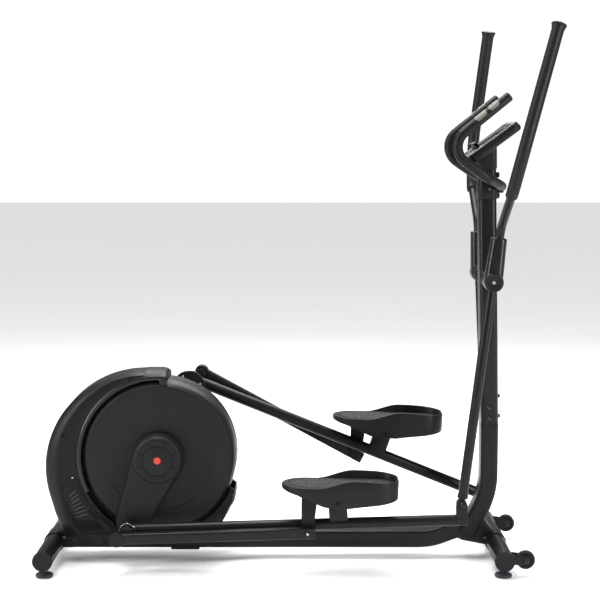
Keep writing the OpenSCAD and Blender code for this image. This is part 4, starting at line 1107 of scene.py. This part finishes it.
def rib(x, y, start, stop, z):
    """One raised dash of the tread, across the pedal."""
    stop = max(stop, start + 1)
    rings = []
    for w, e, h in ((1.9, 0, z), (1.8, 0.2, z + 1), (1.1, 0.8, z + 1.7)):
        low, high = y + start + e, y + stop - e
        rings.append([Vector((x + s * w, d, h)) for s, d in ((-1, low), (1, low), (1, high), (-1, high))])
    return skin(rings)


# ---- Fixed handlebar and console ----

BAR_HALF = ((652, 142, 1477), (461, 142, 1322.3), (591, 138, 1231.8), (633.3, 76, 1210.7))
HANDLEBAR = [Vector((x, -d, z)) for x, d, z in BAR_HALF] + [Vector((658, 0, 1199))]
HANDLEBAR += [Vector((x, d, z)) for x, d, z in BAR_HALF[::-1]]
BEND_STEPS = 14
GRIP_R = 15.5


def handlebar_pieces():
    curve = eased(HANDLEBAR, [0, 66, 45, 80, 70, 80, 45, 66, 0], steps=BEND_STEPS)
    fixed("fixed_bar", "frame_paint", POWDER, tube(curve, 12.5, 48), hides=["fixed_handlebar"])
    foams, caps, plates, rims = [], [], [], []
    for side in SIDES:
        half = curve if side < 0 else curve[::-1]
        top = half[0]
        up_run = (top - half[1]).normalized()
        foams.append(tube([top + up_run * 7] + half[1:3 * BEND_STEPS + 9], GRIP_R, 48, 3.5))
        out = top + up_run * 6
        caps.append(tube([out, out + up_run * 2.4], 12.5, 40, 1))
        for start, length in ((33, 34), (81, 38)):
            plates.append(saddle_plate(top - up_run * start, -up_run, length, GRIP_R + 0.9, side, 62))
            rims.append(saddle_plate(top - up_run * (start - 1.2), -up_run, length + 2.4, GRIP_R + 0.5, side,
                                     66))
    fixed("handlebar_grips", "foam", FOAM, foams, hides=["handlebar_foam"])
    fixed("handlebar_plugs", "cap_plastic", CAP, caps)
    fixed("pulse_contacts", "pulse_metal", PULSE, plates, hides=["pulse_plates"])
    fixed("pulse_rims", "pulse_metal", DULL, rims)
    clamp()


def saddle_plate(start, run, length, radius, side, spread):
    """A thin plate that lies on a round grip, over its top and its outer flank."""
    toward = Vector((-0.45, side * 0.45, 0.75))
    facing = (toward - run * toward.dot(run)).normalized()
    across = run.cross(facing)
    rings = []
    for at, share in ((0, 0.72), (2, 0.9), (6, 1), (length - 6, 1), (length - 2, 0.9), (length, 0.72)):
        ring = []
        for r in (radius, radius - 3):
            angles = [spread * share * k / 8 for k in range(-8, 9)]
            if r != radius:
                angles.reverse()
            for a in angles:
                t = math.radians(a)
                ring.append(start + run * at + (facing * math.cos(t) + across * math.sin(t)) * r)
        rings.append(ring)
    return skin(rings)


def clamp():
    outer = rounded(MAST_D + 6, MAST_W + 8, 18, 8)
    inner = rounded(MAST_D + 0.4, MAST_W + 0.4, 15, 8)
    layers = [(outer, 1.4, 0), (outer, 0.4, 0.5), (outer, 0, 1.5), (outer, 0, 50.5), (outer, 0.4, 51.5),
              (outer, 1.4, 52), (inner, 0, 52), (inner, 0, 0)]
    rings = [[Vector((q.x, q.y, z)) for q in inset(line, grow)] for line, grow, z in layers]
    collar = skin(rings, loop=True)
    block_front = block((30, 56, 32), (MAST_D / 2 + 9, 0, 34), 5, 9)
    fixed("handlebar_collar", "cap_plastic", CAP, [collar, block_front], on_mast(1162),
          hides=["handlebar_clamp"])
    knobs = []
    for z in (1171, 1237):
        turn = on_mast(z) @ Matrix.Rotation(math.radians(90), 4, "Z")
        profile = bent([(6, MAST_D / 2), (6, MAST_D / 2 + 2, 0.5), (9, MAST_D / 2 + 2, 1.5),
                        (9, MAST_D / 2 + 11, 2), (6, MAST_D / 2 + 13, 2), (0.1, MAST_D / 2 + 13)])
        knobs.append(turned(profile, ORIGIN, -1, 40).moved(turn))
    fixed("clamp_knobs", "cap_plastic", GLOSS, knobs)
    fixed("clamp_bolts", "bright_steel", DULL,
          [shell for side in SIDES for shell in bolt(point(612, 1194), side, MAST_W / 2 + 4, 4.5, 2.4)])


def console_pieces():
    w, length, thick = 244, 192, 29
    shell_outline = rounded(length, w, 22, 10)
    layers = [(9, 0), (5, 1), (2.2, 3.2), (0.6, 6.5), (0, 10), (0, thick - 10.5), (0.6, thick - 8.8),
              (1.6, thick - 8.2)]
    body = stack(shell_outline, layers)
    fixed("console_case", "cap_plastic", CAP, body, ON_CONSOLE, hides=["console_housing"])
    neck = [[Vector((upper_x(z) + q.x * k, q.y * k, z)) for q in rounded(61, MAST_W + 6, 16, 8)]
            for z, k in ((1256, 0.93), (1259, 0.97), (1262, 1), (1334, 1))]
    fixed("console_neck", "cap_plastic", CAP, skin(neck))
    face_outline = rounded(length - 3, w - 3, 21, 10)
    low, high = thick - 8.4, thick
    rim = stack(face_outline,
                ((1, low), (0, low + 1), (0, high - 3.4), (0.5, high - 2.2), (1.6, high - 1.6)))
    face = stack(face_outline, ((2, high - 2), (1.6, high - 1), (2.2, high - 0.3), (3, high)))
    fixed("console_rim", "face_silver", CAP, rim, ON_CONSOLE, hides=["console_face"])
    fixed("console_panel", "face_silver", FACE, face, ON_CONSOLE)
    bezel_out, bezel_in = rounded(112, 200, 11, 8), rounded(102, 190, 8, 8)
    layers = [(bezel_out, 0, -0.4), (bezel_out, 0, 0.7), (bezel_out, 0.7, 1.4), (bezel_in, -0.7, 1.4),
              (bezel_in, 0, 0.7), (bezel_in, 0, -0.4)]
    rings = [[Vector((q.x + 24, q.y, high + up)) for q in inset(line, grow)] for line, grow, up in layers]
    fixed("display_bezel", "gloss_plastic", GLOSS, skin(rings, loop=True), ON_CONSOLE)
    fixed("display_window", "gloss_plastic", WINDOW, block((103, 191, 1.2), (24, 0, high + 0.1), 0.3, 8),
          ON_CONSOLE)
    strip_plate = block((40, 210, 0.8), (-72, 0, high + 0.1), 0.3, 10)
    fixed("button_strip", "cap_plastic", KEYPAD, strip_plate, ON_CONSOLE)
    ledge()
    buttons()


def ledge():
    outline = bent([(-49, 25, 0.5), (-41, 25, 0.5), (-41, 46, 3), (-43, 49.5, 3), (-54.5, 49.5, 1.6),
                    (-54.5, 45.4, 1.6), (-47.6, 44.6, 2)], True)
    shelf = plate(outline, -79, 79, 1, 3, 3)
    pads = [block((1.6, 30, 12), (-40.6, y, 38), 0.6) for y in (-50, 0, 50)]
    fixed("tablet_shelf", "cap_plastic", CAP, shelf, ON_CONSOLE, hides=["tablet_ledge"])
    fixed("shelf_pads", "bright_steel", CHROME, pads, ON_CONSOLE)


BUTTON_X = -74


def buttons():
    for name, y in (("start", 0), ("plus", 38), ("minus", -38)):
        cap = standing(bent([(8, 20), (8, 32, 1.2), (0.1, 32.6)]), BUTTON_X, y, 48)
        piece(f"{name}_key_cap", f"{name}_key", "key_plastic", KEY, cap, ON_CONSOLE,
              hides=[f"{name}_button"])
        marks = []
        if name in ("plus", "minus"):
            marks.append(block((1.5, 7, 0.5), (BUTTON_X, y, 32.55), 0.2))
        if name == "plus":
            marks.append(block((7, 1.5, 0.5), (BUTTON_X, y, 32.55), 0.2))
        if name == "start":
            ring = eased([(3.4, 32.3), (3.4, 32.9), (2.2, 32.9), (2.2, 32.3)], 0.1, True)
            marks.append(standing(ring, BUTTON_X, 0, 40, loop=True))
        piece(f"{name}_key_mark", f"{name}_key", "key_plastic", FACE, marks, ON_CONSOLE)


# ---- Carried-over nodes ----

def cad_looks():
    looks = {"crank_bearings": ZINC, "crank_axle": ZINC, "drive_pulley": PULLEY, "drive_belt": BLACK_RUBBER,
             "idler_pulley": PULLEY, "flywheel": IRON, "flywheel_axle": ZINC, "brake_shoe": ZINC,
             "brake_servo": CAP}
    for name, thing in frame["nodes"].items():
        look = looks.get(name, POWDER)
        materials = thing.data.materials
        if not materials:
            materials.append(look)
        for index in range(len(materials)):
            materials[index] = look


# ---- Stage ----

def stage():
    bpy.ops.mesh.primitive_plane_add(size=60, location=(0, 0, 0))
    floor = bpy.context.object
    floor.name = "studio_floor"
    look = Look("studio_floor", (0.86, 0.86, 0.86), 0.9, specular=0.1)
    look.tint(look.noise(1.5, 1), 0.995, 1.005)
    floor.data.materials.append(look.material)
    world = bpy.context.scene.world or bpy.data.worlds.new("studio")
    bpy.context.scene.world = world
    world.use_nodes = True
    background = world.node_tree.nodes["Background"]
    background.inputs["Color"].default_value = (1, 1, 1, 1)
    # The backdrop is white, and lights the machine less than it shows.
    rays = world.node_tree.nodes.new("ShaderNodeLightPath").outputs["Is Camera Ray"]
    strength = world.node_tree.nodes.new("ShaderNodeMapRange")
    strength.inputs["To Min"].default_value = 0.25
    strength.inputs["To Max"].default_value = 1.05
    world.node_tree.links.new(rays, strength.inputs["Value"])
    world.node_tree.links.new(strength.outputs["Result"], background.inputs["Strength"])
    bpy.context.scene.view_settings.view_transform = "Standard"


def softbox(name, location, target, size, power):
    light = bpy.data.lights.new(name, "AREA")
    light.shape = "RECTANGLE"
    light.size, light.size_y = size
    light.energy = power
    thing = bpy.data.objects.new(name, light)
    bpy.context.scene.collection.objects.link(thing)
    thing.location = location
    thing.rotation_euler = (Vector(target) - Vector(location)).to_track_quat("-Z", "Y").to_euler()


def lights():
    middle = (0, 0, 0.7)
    softbox("top_box", (-0.3, 0.3, 3.8), middle, (3.4, 1.0), 170)
    softbox("front_box", (3.4, -3.0, 1.9), middle, (0.9, 2.8), 190)
    softbox("left_box", (-3.6, -1.6, 2.0), middle, (0.9, 2.8), 150)
    softbox("back_box", (0.3, 3.6, 3.2), middle, (3.0, 1.2), 90)
    sky = bpy.data.lights.new("sky", "SUN")
    sky.energy, sky.angle = 2.2, math.radians(70)
    thing = bpy.data.objects.new("sky", sky)
    bpy.context.scene.collection.objects.link(thing)
    thing.rotation_euler = (math.radians(-12), math.radians(-10), 0)


def camera():
    data = bpy.data.cameras.new("photo_camera")
    data.lens = 91.08
    data.sensor_width = 36
    thing = bpy.data.objects.new("photo_camera", data)
    bpy.context.scene.collection.objects.link(thing)
    thing.location = (0.018, -4.83, 1.335)
    thing.rotation_euler = (math.radians(90 - 5.87), 0, math.radians(0.04))
    bpy.context.scene.camera = thing


camera()
cad_looks()
frame_pieces()
mast_pieces()
casing_pieces()
crank_pieces()
for one_side in SIDES:
    sides_linkage = Linkage(one_side)
    for build in (swing_arm, sleeve, grip, pedal_bar, return_crank, pedal_link, pedal, tread):
        build(sides_linkage)
handlebar_pieces()
console_pieces()
stage()
lights()
